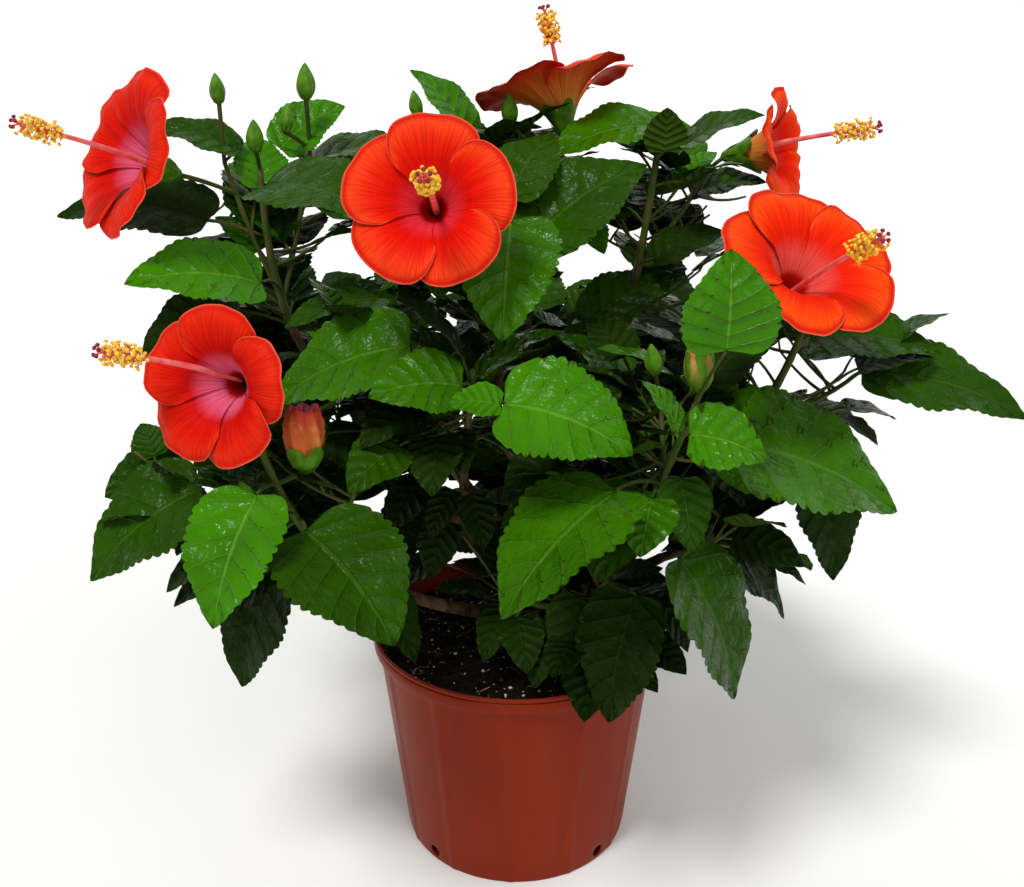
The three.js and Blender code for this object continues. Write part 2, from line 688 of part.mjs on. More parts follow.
/** Everything that grows on the stems, in the order in which it takes its room. */
function growAll(limbs) {
  const taken = new Taken();
  for (const [name, { path, radii }] of Object.entries(limbs)) {
    path.forEach((point, k) => {
      const next = path[Math.min(k + 1, path.length - 1)];
      taken.add([point, middle(point, next)], radii[k], name, 'limb');
    });
  }
  const grown = MASSES.map((mass) => ({ mass, stems: stemPaths(mass) }));
  for (const { mass, stems } of grown) {
    for (const path of stems) taken.add(pathSamples(path, ROOM.spacing), 3.5, mass.name, 'stem');
  }
  for (const plant of grown) {
    const { mass } = plant;
    plant.blooms = mass.blooms.map(([base, heading, rise, spread, reach, column]) => {
      const [turn, lift, columnShare] = column ?? [heading, rise, 1];
      const columnWay = wayOf(turn, lift);
      const foot = stalkFoot(mass, base, 20);
      return { base, heading, rise, spread, reach, columnWay, columnShare, foot };
    });
    plant.buds = mass.buds.map(([base, heading, rise, length]) =>
      ({ base, heading, rise, length, foot: stalkFoot(mass, base, 20) }));
    for (const bloom of plant.blooms) {
      taken.add(bloomSamples(bloom), ROOM.petal, mass.name, 'bloom');
      taken.add(stalkSamples(bloom.foot, bloom.base), 2.5, mass.name, 'stalk');
    }
    for (const bud of plant.buds) {
      const tip = along(bud.base, wayOf(bud.heading, bud.rise), bud.length);
      taken.add(pathSamples([bud.base, tip], ROOM.spacing), 6, mass.name, 'bud');
      taken.add(stalkSamples(bud.foot, bud.base), 2, mass.name, 'stalk');
    }
  }
  for (const plant of grown) {
    const { mass } = plant;
    plant.leaves = mass.leaves.map((row) =>
      settle(placedLeaf(mass, row), mass, taken, PLACED_TRIES));
  }
  for (const [from, to, radius] of OPENINGS) {
    taken.add(pathSamples([from, to], ROOM.spacing), radius, 'opening', 'opening');
  }
  for (const [seed, plant] of grown.entries()) {
    const { mass } = plant;
    const chance = seededChance(seed + 1);
    for (let i = 0; i < mass.fill[0]; i++) {
      plant.leaves.push(settle(ruledLeaf(mass, i, chance), mass, taken, FILL_TRIES));
    }
    plant.leaves = plant.leaves.filter((leaf) => leaf !== null);
  }
  return grown;
}

// ---------------------------------------------------------------- foliage solids

/** Four points round a stalk, the first on the side the blade's right edge is on. */
function stalkRing(point, way, side, radius) {
  const up = cross(way, side);
  return [along(point, side, radius), along(point, up, radius),
    along(point, side, -radius), along(point, up, -radius)];
}

/** The part of a direction that lies across another, at unit length. */
const across = (side, way) => unit(along(side, way, -dot(side, way)));

/** A leaf of few faces: three-sided stalk and a kite of a blade with a keel below. */
function plainLeafSolid(leaf) {
  const rows = midrib(leaf, 3);
  const half = Math.max(LEAF.thinnest, leaf.length * LEAF.thickness) / 2;
  const stalkWay = unit(minus(leaf.base, leaf.foot));
  const bladeWay = unit(minus(rows[1].point, leaf.base));
  const ring = (point, way, radius) => {
    const side = across(rows[0].side, way);
    const up = cross(way, side);
    return [along(point, side, radius), along(along(point, side, -radius), up, 0.2 * radius),
      along(point, up, -1.4 * radius)];
  };
  const { point, side, up } = rows[1];
  const wide = halfWidth(leaf, 1 / 3);
  const edge = along(point, up, LEAF.cup * wide);
  return loft([
    ring(leaf.foot, stalkWay, STALK.foot),
    ring(leaf.base, unit(along(bladeWay, stalkWay, 0.9)), STALK.radius),
    [along(edge, side, wide), along(edge, side, -wide), along(point, up, -half)],
    [rows[3].point],
  ]);
}

/** A leaf from its stalk's foot to its tip: four-sided stalk, blade lens-shaped across. */
function leafSolid(leaf) {
  if (leaf.plain) return plainLeafSolid(leaf);
  const steps = leaf.length >= LEAF.longFrom ? 4 : 3;
  const half = Math.max(LEAF.thinnest, leaf.length * LEAF.thickness) / 2;
  const rows = midrib(leaf, steps);
  const stalkWay = unit(minus(leaf.base, leaf.foot));
  const bladeWay = unit(minus(rows[1].point, leaf.base));
  const bendWay = unit(along(bladeWay, stalkWay, 0.9));
  const baseSide = across(rows[0].side, bendWay);
  const stalk = [
    stalkRing(leaf.foot, stalkWay, across(baseSide, stalkWay), STALK.foot),
    stalkRing(leaf.base, bendWay, baseSide, STALK.radius),
  ];
  const blade = rows.slice(1, -1).map(({ point, side, up }, k) => {
    const wide = halfWidth(leaf, (k + 1) / steps);
    const edge = along(point, up, LEAF.cup * wide);
    return [along(edge, side, wide), along(point, up, half),
      along(edge, side, -wide), along(point, up, -half)];
  });
  return loft([...stalk, ...blade, [rows[steps].point]]);
}

/** A pointed solid along a way from [distance, radius] rows; radius 0 is an apex. */
function spindle(base, way, rows, sides) {
  const path = rows.map(([far]) => along(base, way, far));
  const rings = tubeRings(path, rows.map(([, radius]) => radius), sides);
  return loft(rings.map((ring, k) => (rows[k][1] === 0 ? [path[k]] : ring)));
}

/** The calyx and petals of a bloom: a thin lobed funnel on a solid foot. */
function corolla(bloom) {
  const sides = BLOOM.petals * BLOOM.sidesPerPetal;
  const ring = ([radius, far, part]) => bloomRing(bloom, radius, far, part, sides);
  const { way } = axesOf(bloom);
  const outside = BLOOM_ROWS.map(ring);
  const inside = BLOOM_ROWS.slice(1).reverse().map(([radius, far, part]) =>
    ring([radius - BLOOM.petal * (1 - 0.6 * part), far + BLOOM.petal, part]));
  const apex = (far) => [along(bloom.base, way, far)];
  return loft([apex(-4), ...outside, ...inside, apex(21)]);
}

function bloomSolids(bloom) {
  const columnRows = COLUMN_ROWS.map(([far, radius]) => [far * bloom.columnShare, radius]);
  return [
    corolla(bloom),
    spindle(bloom.base, bloom.columnWay, columnRows, 4),
    tube([bloom.foot, bloom.base], [2.2, 2.8], 4),
  ];
}

function budSolids(bud) {
  const way = wayOf(bud.heading, bud.rise);
  const radius = Math.max(BUD.leastRadius, bud.length * BUD.girth);
  const rows = [[0, 2], [bud.length * 0.2, radius], [bud.length * 0.6, radius * 0.85], [bud.length, 0]];
  return [
    spindle(bud.base, way, rows, BUD.sides),
    tube([bud.foot, along(bud.base, way, 2)], [1.7, 1.7], 4),
  ];
}

function stemSolids(paths) {
  return paths.map((path, k) => {
    const { base, tip, sides } = k === 0 ? STEM : TWIG;
    const last = path.length - 1;
    return tube(path, path.map((_, i) => base + ((tip - base) * i) / last), sides);
  });
}

// ---------------------------------------------------------------- assembly

const COLOURS = {
  pot: ['#8c3a22', 0.45],
  soil: ['#2c211a', 0.95],
  wood: ['#7a6a52', 0.8],
  leaf: ['#3f7a2c', 0.5],
};

/** A named mesh of a solid. */
function meshOf(name, solid, [colour, roughness]) {
  const { vertProperties, triVerts } = solid.getMesh();
  const geometry = new THREE.BufferGeometry();
  geometry.setAttribute('position', new THREE.BufferAttribute(vertProperties, 3));
  geometry.setIndex(new THREE.BufferAttribute(triVerts, 1));
  geometry.computeVertexNormals();
  const material = new THREE.MeshStandardMaterial({ color: colour, roughness, metalness: 0 });
  const mesh = new THREE.Mesh(geometry, material);
  mesh.name = name;
  return mesh;
}

function shrub() {
  const group = new THREE.Group();
  group.name = 'potted_hibiscus';
  group.add(meshOf('pot', pot(), COLOURS.pot));
  group.add(meshOf('soil', soil(), COLOURS.soil));

  const limbs = { trunk: trunkLine() };
  for (const row of BOUGHS) limbs[row[0]] = boughLine(row, limbs);
  let room = limbSolid(limbs.trunk, GAP);
  const trunk = limbSolid(limbs.trunk).trimByPlane([0, 0, 1], SOIL.top + GAP);
  group.add(meshOf('trunk', trunk, COLOURS.wood));
  for (const [name] of BOUGHS) {
    const bough = fuse([limbSolid(limbs[name]).subtract(room)]);
    group.add(meshOf(`bough_${name}`, bough, COLOURS.wood));
    room = room.add(limbSolid(limbs[name], GAP));
  }

  for (const { mass, stems, leaves, blooms, buds } of growAll(limbs)) {
    const solids = [
      ...stemSolids(stems),
      ...leaves.map(leafSolid),
      ...blooms.flatMap(bloomSolids),
      ...buds.flatMap(budSolids),
    ];
    const grown = fuse([Manifold.union(solids).subtract(room)]);
    group.add(meshOf(`leaves_${mass.name}`, grown, COLOURS.leaf));
  }
  return group;
}

export default shrub();
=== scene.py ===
"""A hibiscus shrub in its nursery pot, dressed on its CAD frame.

Lengths are millimetres and angles degrees until a mesh is made in metres.
+Z is up and the pot stands on z = 0. A heading turns from +X (0) towards +Y (90),
and a rise is the angle above the horizontal.
"""

import math

import bpy
import numpy as np
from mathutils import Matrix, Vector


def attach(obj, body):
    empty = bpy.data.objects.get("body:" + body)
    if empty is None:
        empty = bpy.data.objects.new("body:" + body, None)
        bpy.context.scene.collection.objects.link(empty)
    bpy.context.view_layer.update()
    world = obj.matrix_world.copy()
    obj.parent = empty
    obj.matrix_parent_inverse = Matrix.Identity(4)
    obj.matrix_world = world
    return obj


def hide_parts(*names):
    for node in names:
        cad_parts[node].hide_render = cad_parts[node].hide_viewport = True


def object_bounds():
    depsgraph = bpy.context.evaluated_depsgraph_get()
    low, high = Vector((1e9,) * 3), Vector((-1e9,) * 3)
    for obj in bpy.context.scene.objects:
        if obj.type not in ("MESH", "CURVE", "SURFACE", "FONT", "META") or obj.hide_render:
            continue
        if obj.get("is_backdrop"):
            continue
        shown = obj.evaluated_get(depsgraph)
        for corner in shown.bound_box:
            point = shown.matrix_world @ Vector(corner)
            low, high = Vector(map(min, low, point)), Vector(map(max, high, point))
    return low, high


METRES = 0.001

# ---- sizes of the rule of growth

SOIL_TOP = 170
POT_HEIGHT = 184
RIM_RADIUS = 115
TRUNK_FOOT = (5, 10)
TRUNK_FORK = (4, 2, 222)
TRUNK_RADII = (20, 16.5, 14, 12.2, 11)
TRUNK_SHARES = (0, 0.1, 0.3, 0.65, 1)
BOUGH_TIP_RADIUS = 3.6
STEM_RADII = (3.5, 2.2)
TWIG_RADII = (1.8, 1.6)
STEM_STEPS = 4
TWIG_STEPS = 3
TWIG_SAG = 0.12
LEAF_SHARE = 0.36
LEAF_DROOP = 38
LEAF_CUP = 0.12
# The tints paint light and shade as well as the leaves' own greens: bright for lit leaves, deep for
# leaves in the crown's shade.
TINTS = "bfmd"  # of leaves: bright, fresh, middle, deep
PETALS = 5
BLOOM_RADIUS = 57
# Radius and distance from the base of the rings that stand for a bloom.
BLOOM_RINGS = ((4, 6), (10, 18), (18, 26), (27, 32), (37, 36), (47, 38), (57, 40))
THROAT = 34  # distance over which a half open bloom narrows
COLUMN = 108  # from the bloom's base past the stigmas
GOLDEN_TURN = 137.5

# Leaves that grow by rule.
FILL_WANDER = 24  # by chance, of heading and rise
FILL_RISE = (-35, 35)  # at the foot and the tip of the stem
FILL_ROLL = 40
FILL_STALK = 0.38  # of the leaf's length

# A stalk finds the point of the stems that costs it least.
STALK_CLIMB = 0.3
COST_HIGH = 1.2
COST_SHORT = 0.8
LEAF_STALK = 0.3  # wished for at least, as a share of the leaf's length
FLOWER_STALK = 20

# Points stand for a shape, at most this far apart, and this much room is kept round them.
SPACING = 8
STALK_SPACING = 5
STALK_CLEAR = 0.35  # share of a stalk that takes no room, next to its stem
ROOM_LEAF = 4.5
ROOM_PETAL = 4.5
ROOM_STALK = 1.6
ROOM_BLOOM_STALK = 2.5
ROOM_BUD = 6
ROOM_BUD_STALK = 2
ROOM_APART = 2
ROOM_OWN = -3
ROOM_OVER_POT = 3
# Turns and lifts tried one after another for a leaf.
PLACED_TRIES = ((0, 0), (10, 0), (-10, 0), (0, 10), (0, -10), (20, 8), (-20, 8),
                (20, -12), (-20, -12), (34, 0), (-34, 0))
FILL_TRIES = ((0, 0), (20, 0), (-20, 0), (40, 8), (-40, 8), (60, -8), (-60, -8),
              (0, 24), (0, -24), (30, 30), (-30, -30))

# Limbs in the order they grow: [mass it carries, limb it leaves, where along it, base radius, sag].
BOUGHS = [
    ["crown_top", "trunk", 1, 8.6, [0, 14, 0]],
    ["crown_left", "trunk", 0.9, 7.6, [8, 2, -26]],
    ["crown_right", "crown_top", 0.12, 7.4, [10, 0, -16]],
    ["back_centre", "trunk", 0.78, 6.8, [0, 14, -20]],
    ["centre_left", "trunk", 0.82, 6.2, [-2, -8, -6]],
    ["right_low", "trunk", 0.86, 6.6, [8, -6, -12]],
    ["low_left", "trunk", 0.55, 6.4, [-8, -4, -12]],
    ["low_front", "trunk", 0.4, 5.4, [4, -10, -3]],
    ["back_low", "trunk", 0.35, 5.4, [0, 10, -4]],
    ["centre_top", "crown_top", 0.42, 5.4, [-4, -12, -8]],
    ["right_top", "crown_right", 0.34, 5.6, [10, -8, -12]],
    ["centre_right", "right_low", 0.42, 5.2, [2, -8, -10]],
    ["side_right", "crown_right", 0.46, 5.4, [8, 10, -10]],
    ["side_left", "crown_left", 0.42, 5.4, [-6, 10, -10]],
    ["back_left", "back_centre", 0.3, 5.2, [-8, 12, -10]],
    ["back_right", "back_centre", 0.36, 5.2, [10, 12, -10]],
]

# What grows finer than the rule above.
FINE_TWIGS_PER_FILL = 1.8
FINE_TWIG = (24, 40)  # least length and how much more by chance
FINE_LEAF = (30, 25)
FINE_ROOM = 1.5
AIR_BEFORE_BLOOM = ((60, 34), (100, 30))  # distance along the bloom's way, radius kept free
AIR_AT_EDGE = (-262, -122, 392), 18  # a place beside the low left bloom, radius kept free

# ---- what stands where


def make_mass(name, foot, bend, tip, fill, twigs, leaves=(), tints="", blooms=(), hue=0, buds=()):
    """A mass of the crown, with a letter of TINTS for each leaf that has a set place; the letter
    gives the leaf's own green and also its painted light or shade.
    """
    return {"name": name, "foot": foot, "bend": bend, "tip": tip, "fill": fill, "twigs": twigs,
            "leaves": leaves, "tints": tints, "blooms": blooms, "hue": hue, "buds": buds}


# The masses: name, then foot, bend and tip of the stem, then the fill.
#   fill:  [how many leaves grow by rule, from heading, to heading, length]
#   twig:  [where along the stem it leaves, tip]
#   leaf:  [base, heading, rise, length, roll, half width of the length (LEAF_SHARE if left out)]
#   bloom: [base, heading, rise, spread (1 when wide open), reach (1 is BLOOM_RADIUS),
#           heading, rise and share of full length of a column that leaves the corolla's own way]
#   bud:   [base, heading, rise, length]
MASSES = [
    make_mass(
        "crown_left", [-120, 0, 372], [-178, -6, 400], [-180, 8, 538], [8, 30, 150, 66],
        twigs=[[0.62, [-206, 14, 542]], [0.6, [-150, 42, 548]]],
        leaves=[
            [[-218, 2, 503], 172, 0, 116, -26, 0.3], [[-196, 18, 549], 186, 14, 66, -25, 0.3],
            [[-172, 44, 548], 20, 30, 58, 40, 0.4], [[-158, 64, 534], 350, 10, 84, 15],
            [[-172, -16, 530], 326, -8, 100, 20], [[-172, -50, 470], 208, 5, 90, -30],
            [[-212, -24, 446], 190, -34, 66, -35], [[-196, -50, 456], 235, -64, 62, 0],
        ],
        tints="dmbmmbdd",
        blooms=[[[-229, -24, 538], 222, 24, 1, 1, [222, 21, 1.05]]], hue=1,
        buds=[
            [[-205, 10, 582], 170, 86, 20], [[-149, 32, 583], 80, 85, 25],
            [[-178, -8, 551], 250, 88, 22], [[-163, 20, 562], 60, 74, 18],
        ],
    ),
    make_mass(
        "low_left", [-100, -84, 262], [-140, -130, 300], [-156, -158, 392], [11, 60, 230, 60],
        twigs=[[0.45, [-206, -108, 336]], [0.4, [-104, -120, 352]]],
        leaves=[
            [[-228, -84, 346], 205, -10, 54, -60, 0.42],
            [[-204, -130, 354], 196, -38, 94, -30, 0.38],
            [[-154, -186, 373], 243, -55, 82, 0, 0.42], [[-168, -98, 278], 228, -66, 86, 0, 0.45],
            [[-126, -186, 350], 321, -36, 90, 12, 0.46], [[-98, -94, 262], 336, -62, 62, 0],
        ],
        tints="mmbdmd",
        blooms=[[[-163, -135, 426], 248, 12, 1, 0.85, [220, 22, 0.95]]], hue=1,
        buds=[[[-164, -160, 356], 220, 70, 18], [[-131, -150, 373], 84, 84, 46]],
    ),
    make_mass(
        "side_left", [-130, 50, 322], [-175, 70, 330], [-212, 84, 378], [24, 80, 270, 76],
        twigs=[[0.5, [-176, 104, 412]]],
    ),
    make_mass(
        "centre_left", [-40, -44, 286], [-38, -64, 340], [-28, -116, 428], [14, 40, 210, 62],
        twigs=[[0.55, [-70, -100, 425]], [0.5, [-96, -60, 440]]],
        leaves=[
            [[-68, -110, 443], 190, -24, 98, -34], [[-34, -134, 424], 188, -2, 60, -38, 0.4],
            [[-24, -112, 424], 12, 26, 60, 0], [[-8, -172, 425], 345, -18, 82, 32, 0.45],
            [[-129, -100, 380], 334, -36, 64, 10], [[18, -120, 386], 2, -28, 70, 0],
            [[-82, -42, 458], 196, -12, 80, -10], [[-44, -72, 328], 225, -55, 40, 0],
            [[-32, -84, 330], 300, -62, 40, 0], [[-10, -172, 424], 180, 0, 32, -20, 0.5],
            [[-66, -30, 318], 226, -40, 50, 0, 0.45],
        ],
        tints="fffbdmmddbd",
    ),
    make_mass(
        "centre_top", [-14, -40, 380], [-10, -50, 440], [-12, -74, 512], [11, 60, 210, 60],
        twigs=[[0.6, [-60, -40, 520]]],
        leaves=[
            [[8, -72, 500], 24, 28, 98, 30], [[-4, -84, 517], 264, -62, 84, 0, 0.4],
            [[-24, -60, 470], 150, -20, 74, 0], [[0, -40, 470], 60, -10, 60, 0],
        ],
        tints="mfdf",
        blooms=[[[-49, -103, 523], 266, 21, 1, 0.9, [270, 20, 1]]],
    ),
    make_mass(
        "crown_top", [8, 24, 430], [10, 30, 490], [14, 46, 544], [10, 30, 160, 58],
        twigs=[[0.7, [-66, 30, 556]]],
        leaves=[
            [[-36, 66, 556], 168, 46, 64, -20], [[30, 30, 500], 300, -15, 64, 0],
            [[10, 60, 520], 80, 10, 76, 0],
        ],
        tints="bfd",
        blooms=[[[36, 52, 556], 130, 70, 1, 1.04, [205, 78, 0.86]]], hue=2,
        buds=[[[-4, 36, 566], 230, 80, 22], [[-70, 30, 572], 170, 80, 18]],
    ),
    make_mass(
        "crown_right", [78, 20, 400], [88, 20, 450], [98, 8, 548], [10, 20, 160, 60],
        twigs=[[0.55, [140, 40, 534]]],
        leaves=[
            [[98, 24, 567], 192, -16, 82, -20], [[112, 0, 552], 350, 23, 62, 20],
            [[118, -2, 530], 328, 20, 44, 0], [[128, 42, 516], 348, 20, 56, 20],
            [[52, 2, 430], 14, 22, 80, 20], [[86, 30, 440], 150, 10, 60, 0],
            [[100, -16, 552], 256, 80, 30, 0, 0.5], [[98, 0, 476], 8, 18, 58, 20],
        ],
        tints="fmfmmmfd",
        blooms=[[[152, 42, 543], 332, 10, 0.78, 0.95, [330, 13, 1.06]]], hue=2,
    ),
    make_mass(
        "right_top", [150, -30, 344], [178, -46, 370], [196, -56, 446], [12, 0, 140, 60],
        twigs=[[0.3, [236, -30, 394]]],
        leaves=[
            [[206, -30, 426], 347, -4, 90, 20], [[242, -40, 404], 350, -14, 120, 30, 0.27],
            [[216, 10, 400], 20, 0, 70, 0], [[170, -20, 410], 150, 10, 60, 0],
        ],
        tints="mmmm",
        blooms=[[[170, -88, 467], 291, 50, 1, 1.01, [292, 32, 1]]], hue=2,
        buds=[[[192, -58, 456], 20, 70, 30]],
    ),
    make_mass(
        "centre_right", [80, -96, 290], [88, -130, 350], [104, -172, 424], [12, 30, 200, 56],
        twigs=[[0.6, [92, -110, 408]]],
        leaves=[
            [[98, -190, 412], 350, -16, 47, 35, 0.5], [[93, -186, 412], 150, 50, 38, 0, 0.46],
            [[108, -92, 410], 190, 26, 66, 0], [[57, -186, 376], 213, -38, 102, 5, 0.48],
            [[101, -148, 368], 284, -60, 48, 0], [[86, -56, 390], 154, 30, 78, 0],
            [[80, -180, 368], 250, -46, 38, 0, 0.5], [[116, -190, 462], 96, 84, 57, 0, 0.5],
        ],
        tints="bbffmbfb",
        buds=[[[106, -170, 432], 180, 86, 38], [[85, -130, 430], 180, 80, 20]],
    ),
    make_mass(
        "right_low", [104, -66, 272], [150, -80, 296], [196, -72, 346], [15, 0, 130, 62],
        twigs=[[0.35, [118, -140, 318]]],
        leaves=[
            [[132, -112, 379], 350, -20, 124, 18, 0.48], [[208, -62, 340], 300, -68, 82, 0],
            [[102, -162, 320], 328, -65, 100, 0, 0.45], [[147, -98, 296], 342, -51, 64, 0, 0.42],
            [[159, -58, 300], 338, 36, 38, 0],
        ],
        tints="fdmdd",
    ),
    make_mass(
        "low_front", [30, -52, 214], [48, -84, 236], [64, -112, 280], [10, -60, 120, 48],
        twigs=[[0.4, [-10, -72, 246]]],
        leaves=[
            [[79, -132, 278], 230, -73, 92, 0], [[-17, -62, 238], 205, 18, 50, 0],
            [[0, -80, 232], 280, -30, 48, 0], [[20, -90, 222], 290, -40, 40, 0],
            [[44, -100, 260], 250, -60, 56, 0], [[92, -110, 270], 320, -50, 50, 0],
            [[-8, -66, 232], 235, -50, 44, 0], [[30, -66, 300], 262, -40, 50, 0],
            [[-48, -64, 300], 240, -60, 44, 0, 0.45], [[-60, -40, 256], 214, -24, 44, 0, 0.45],
            [[-66, -4, 290], 250, -30, 70, 0, 0.42],
        ],
        tints="ddddddddddd",
    ),
    make_mass(
        "side_right", [136, 50, 306], [186, 70, 318], [222, 80, 346], [24, -80, 100, 74],
        twigs=[[0.5, [172, 100, 376]]],
    ),
    make_mass(
        "back_left", [-84, 104, 320], [-110, 150, 330], [-130, 180, 372], [22, 50, 240, 76],
        twigs=[[0.5, [-170, 150, 392]]],
        blooms=[[[-146, 198, 340], 122, 4, 1, 0.9]],
    ),
    make_mass(
        "back_centre", [4, 130, 310], [8, 170, 330], [4, 190, 352], [24, -10, 190, 76],
        twigs=[[0.5, [-50, 190, 342]]],
        blooms=[[[22, 204, 326], 84, 12, 1, 0.9]],
    ),
    make_mass(
        "back_right", [96, 104, 320], [118, 146, 330], [140, 176, 368], [21, -60, 120, 76],
        twigs=[[0.5, [176, 150, 366]]],
        buds=[[[140, 180, 374], 70, 80, 34]],
    ),
    make_mass(
        "back_low", [20, 90, 230], [20, 130, 240], [30, 166, 270], [18, 10, 170, 70],
        twigs=[[0.4, [-50, 156, 270]]],
        leaves=[[[-14, 100, 226], 192, -20, 62, -40, 0.48]],
        tints="d",
    ),
]

# Openings through the crown that ruled leaves leave free: [from, to, radius].
OPENINGS = [
    [[28, -120, 478], [45, 200, 410], 9],
    [[50, -120, 492], [79, 200, 434], 12],
    [[160, -130, 434], [250, 220, 326], 16],
    [[190, -130, 431], [294, 220, 325], 12],
    [[-103, -130, 500], [-153, 200, 434], 16],
    [[144, -60, 523], [197, 200, 485], 13],
    [[186, -100, 314], [255, 150, 198], 15],
    [[80, 10, 606], [96, 10, 592], 9],
    [[-94, 36, 588], [-86, 44, 590], 8],
]

# Two buds that differ: their mass and their place in its buds.
SPENT_BLOOM = ("low_left", 1)
COLOURED_BUD = ("centre_right", 0)

# ---- directions, curves and chance


def way_of(heading, rise):
    """Unit directions with these headings and rises."""
    heading, rise = np.radians(heading), np.radians(rise)
    parts = np.cos(rise) * np.cos(heading), np.cos(rise) * np.sin(heading), np.sin(rise)
    return np.stack(np.broadcast_arrays(*parts), axis=-1)


def on_curve(a, b, c, t):
    """Points on the curve from a to c that is drawn towards b."""
    a, b, c = (np.asarray(p, float) for p in (a, b, c))
    t = np.asarray(t, float)[..., None]
    return a * (1 - t) ** 2 + 2 * b * t * (1 - t) + c * t * t


def level_of(heading):
    """The level direction to the left of a heading."""
    return np.array([-math.sin(math.radians(heading)), math.cos(math.radians(heading)), 0])


def unit(vector):
    return vector / np.linalg.norm(vector, axis=-1, keepdims=True)


def smooth(value, low=0.0, high=1.0):
    """0 below low, 1 above high and a smooth step between."""
    t = np.clip((np.asarray(value, float) - low) / (high - low), 0, 1)
    return t * t * (3 - 2 * t)


def seeded_chance(seed):
    """Numbers from 0 to 1 that only the seed decides; the first three are passed over."""
    state = seed * 7919 + 101
    passed = 0
    while True:
        state = state * 48271 % 2147483647
        passed += 1
        if passed > 3:
            yield state / 2147483647


def part_way(path, share):
    """The point this share of the way along a path."""
    place = share * (len(path) - 1)
    k = min(int(place), len(path) - 2)
    return path[k] + (path[k + 1] - path[k]) * (place - k)


# ---- the rule of growth


def trunk_line():
    foot = np.array([*TRUNK_FOOT, SOIL_TOP - 4], float)
    path = foot + (np.array(TRUNK_FORK) - foot) * np.array(TRUNK_SHARES)[:, None]
    return {"path": path, "radii": np.array(TRUNK_RADII)}


def bough_line(row, limbs):
    """A bough's axis and radii from inside the limb it leaves to the foot of its mass."""
    mass, parent, share, radius, sag = row
    start = part_way(limbs[parent]["path"], share)
    end = np.array(next(m["foot"] for m in MASSES if m["name"] == mass), float)
    bend = (start + end) / 2 + np.array(sag)
    t = np.linspace(0, 1, 5)
    return {"path": on_curve(start, bend, end, t), "radii": bough_radii(radius, t),
            "curve": (start, bend, end)}


def bough_radii(base, t):
    return base + (BOUGH_TIP_RADIUS - base) * t ** 0.8


def stem_curves(mass):
    """The stem of a mass and its twigs, each as the three points of a curve."""
    curves = [tuple(np.array(mass[key], float) for key in ("foot", "bend", "tip"))]
    for share, tip in mass["twigs"]:
        start = on_curve(*curves[0], share)
        tip = np.array(tip, float)
        sag = TWIG_SAG * np.linalg.norm(tip - start)
        curves.append((start, (start + tip) / 2 - np.array([0, 0, sag]), tip))
    return curves


def stem_paths(mass):
    paths = []
    for k, curve in enumerate(stem_curves(mass)):
        steps = STEM_STEPS if k == 0 else TWIG_STEPS
        paths.append(on_curve(*curve, np.linspace(0, 1, steps + 1)))
    return paths


def path_samples(path, spacing):
    """Points at most this far apart along a path, without its start."""
    samples = []
    for start, end in zip(path[:-1], path[1:]):
        count = max(1, math.ceil(np.linalg.norm(end - start) / spacing))
        samples.append(start + (end - start) * (np.arange(1, count + 1) / count)[:, None])
    return np.concatenate(samples)


def stalk_foot(mass, base, reach):
    """Where on its mass's stems a stalk to this base starts: near, below and a little away."""
    points = np.concatenate([path_samples(path, SPACING) for path in stem_paths(mass)])
    base = np.array(base, float)
    far = np.linalg.norm(base - points, axis=1)
    high = np.maximum(0, points[:, 2] - base[2] + STALK_CLIMB * far)
    cost = far + COST_HIGH * high + COST_SHORT * np.maximum(0, reach - far)
    return points[np.argmin(cost)]


def midrib(leaf, steps):
    """Points of the midrib, with the side, up and forward directions of the blade at each."""
    share = np.arange(steps + 1) / steps
    heading = leaf["heading"]
    level = level_of(heading)
    way = way_of(heading, leaf["rise"] + LEAF_DROOP * (0.5 - share))
    ahead = way_of(heading, leaf["rise"] + LEAF_DROOP * (0.5 - share[:-1] - 0.5 / steps))
    walked = np.cumsum(ahead, axis=0) * leaf["length"] / steps
    points = np.concatenate([leaf["base"][None], leaf["base"] + walked])
    roll = math.radians(leaf["roll"])
    side = level * math.cos(roll) + np.cross(way, level) * math.sin(roll)
    return points, side, np.cross(way, side), way


def half_width(leaf, share):
    """Half of the blade's width at these shares of its length."""
    share = np.clip(share, 0, 1)
    return leaf["length"] * leaf["share"] * np.abs(np.sin(math.pi * share ** 0.6)) ** 0.8


def blade_samples(leaf):
    steps = max(3, math.floor(leaf["length"] / SPACING + 0.5))
    points, side, up, _ = midrib(leaf, steps)
    halves = half_width(leaf, (np.arange(steps + 1) - 0.2) / steps)
    samples = []
    for k in range(1, steps + 1):
        count = max(1, int(halves[k] // SPACING))
        across = (np.arange(-count, count + 1) / count)[:, None] * halves[k]
        samples.append(points[k] + side[k] * across + up[k] * LEAF_CUP * np.abs(across))
    return np.concatenate(samples)


def axes_of(heading, rise):
    """The way of a bloom or bud and the two directions across it."""
    way = way_of(heading, rise)
    side = level_of(heading)
    return way, side, np.cross(way, side)


def around(axes, angle, radius=1.0):
    """Offsets across the way of these axes, at an angle from their side direction."""
    _, side, up = axes
    return side * (np.cos(angle) * radius)[..., None] + up * (np.sin(angle) * radius)[..., None]


def bloom_narrowing(bloom, far):
    return bloom["reach"] * (1 - (1 - bloom["spread"]) * np.minimum(1, far / THROAT))


def bloom_stretch(bloom):
    """How much longer than a wide open bloom this one is."""
    return 1.4 - 0.4 * bloom["spread"]


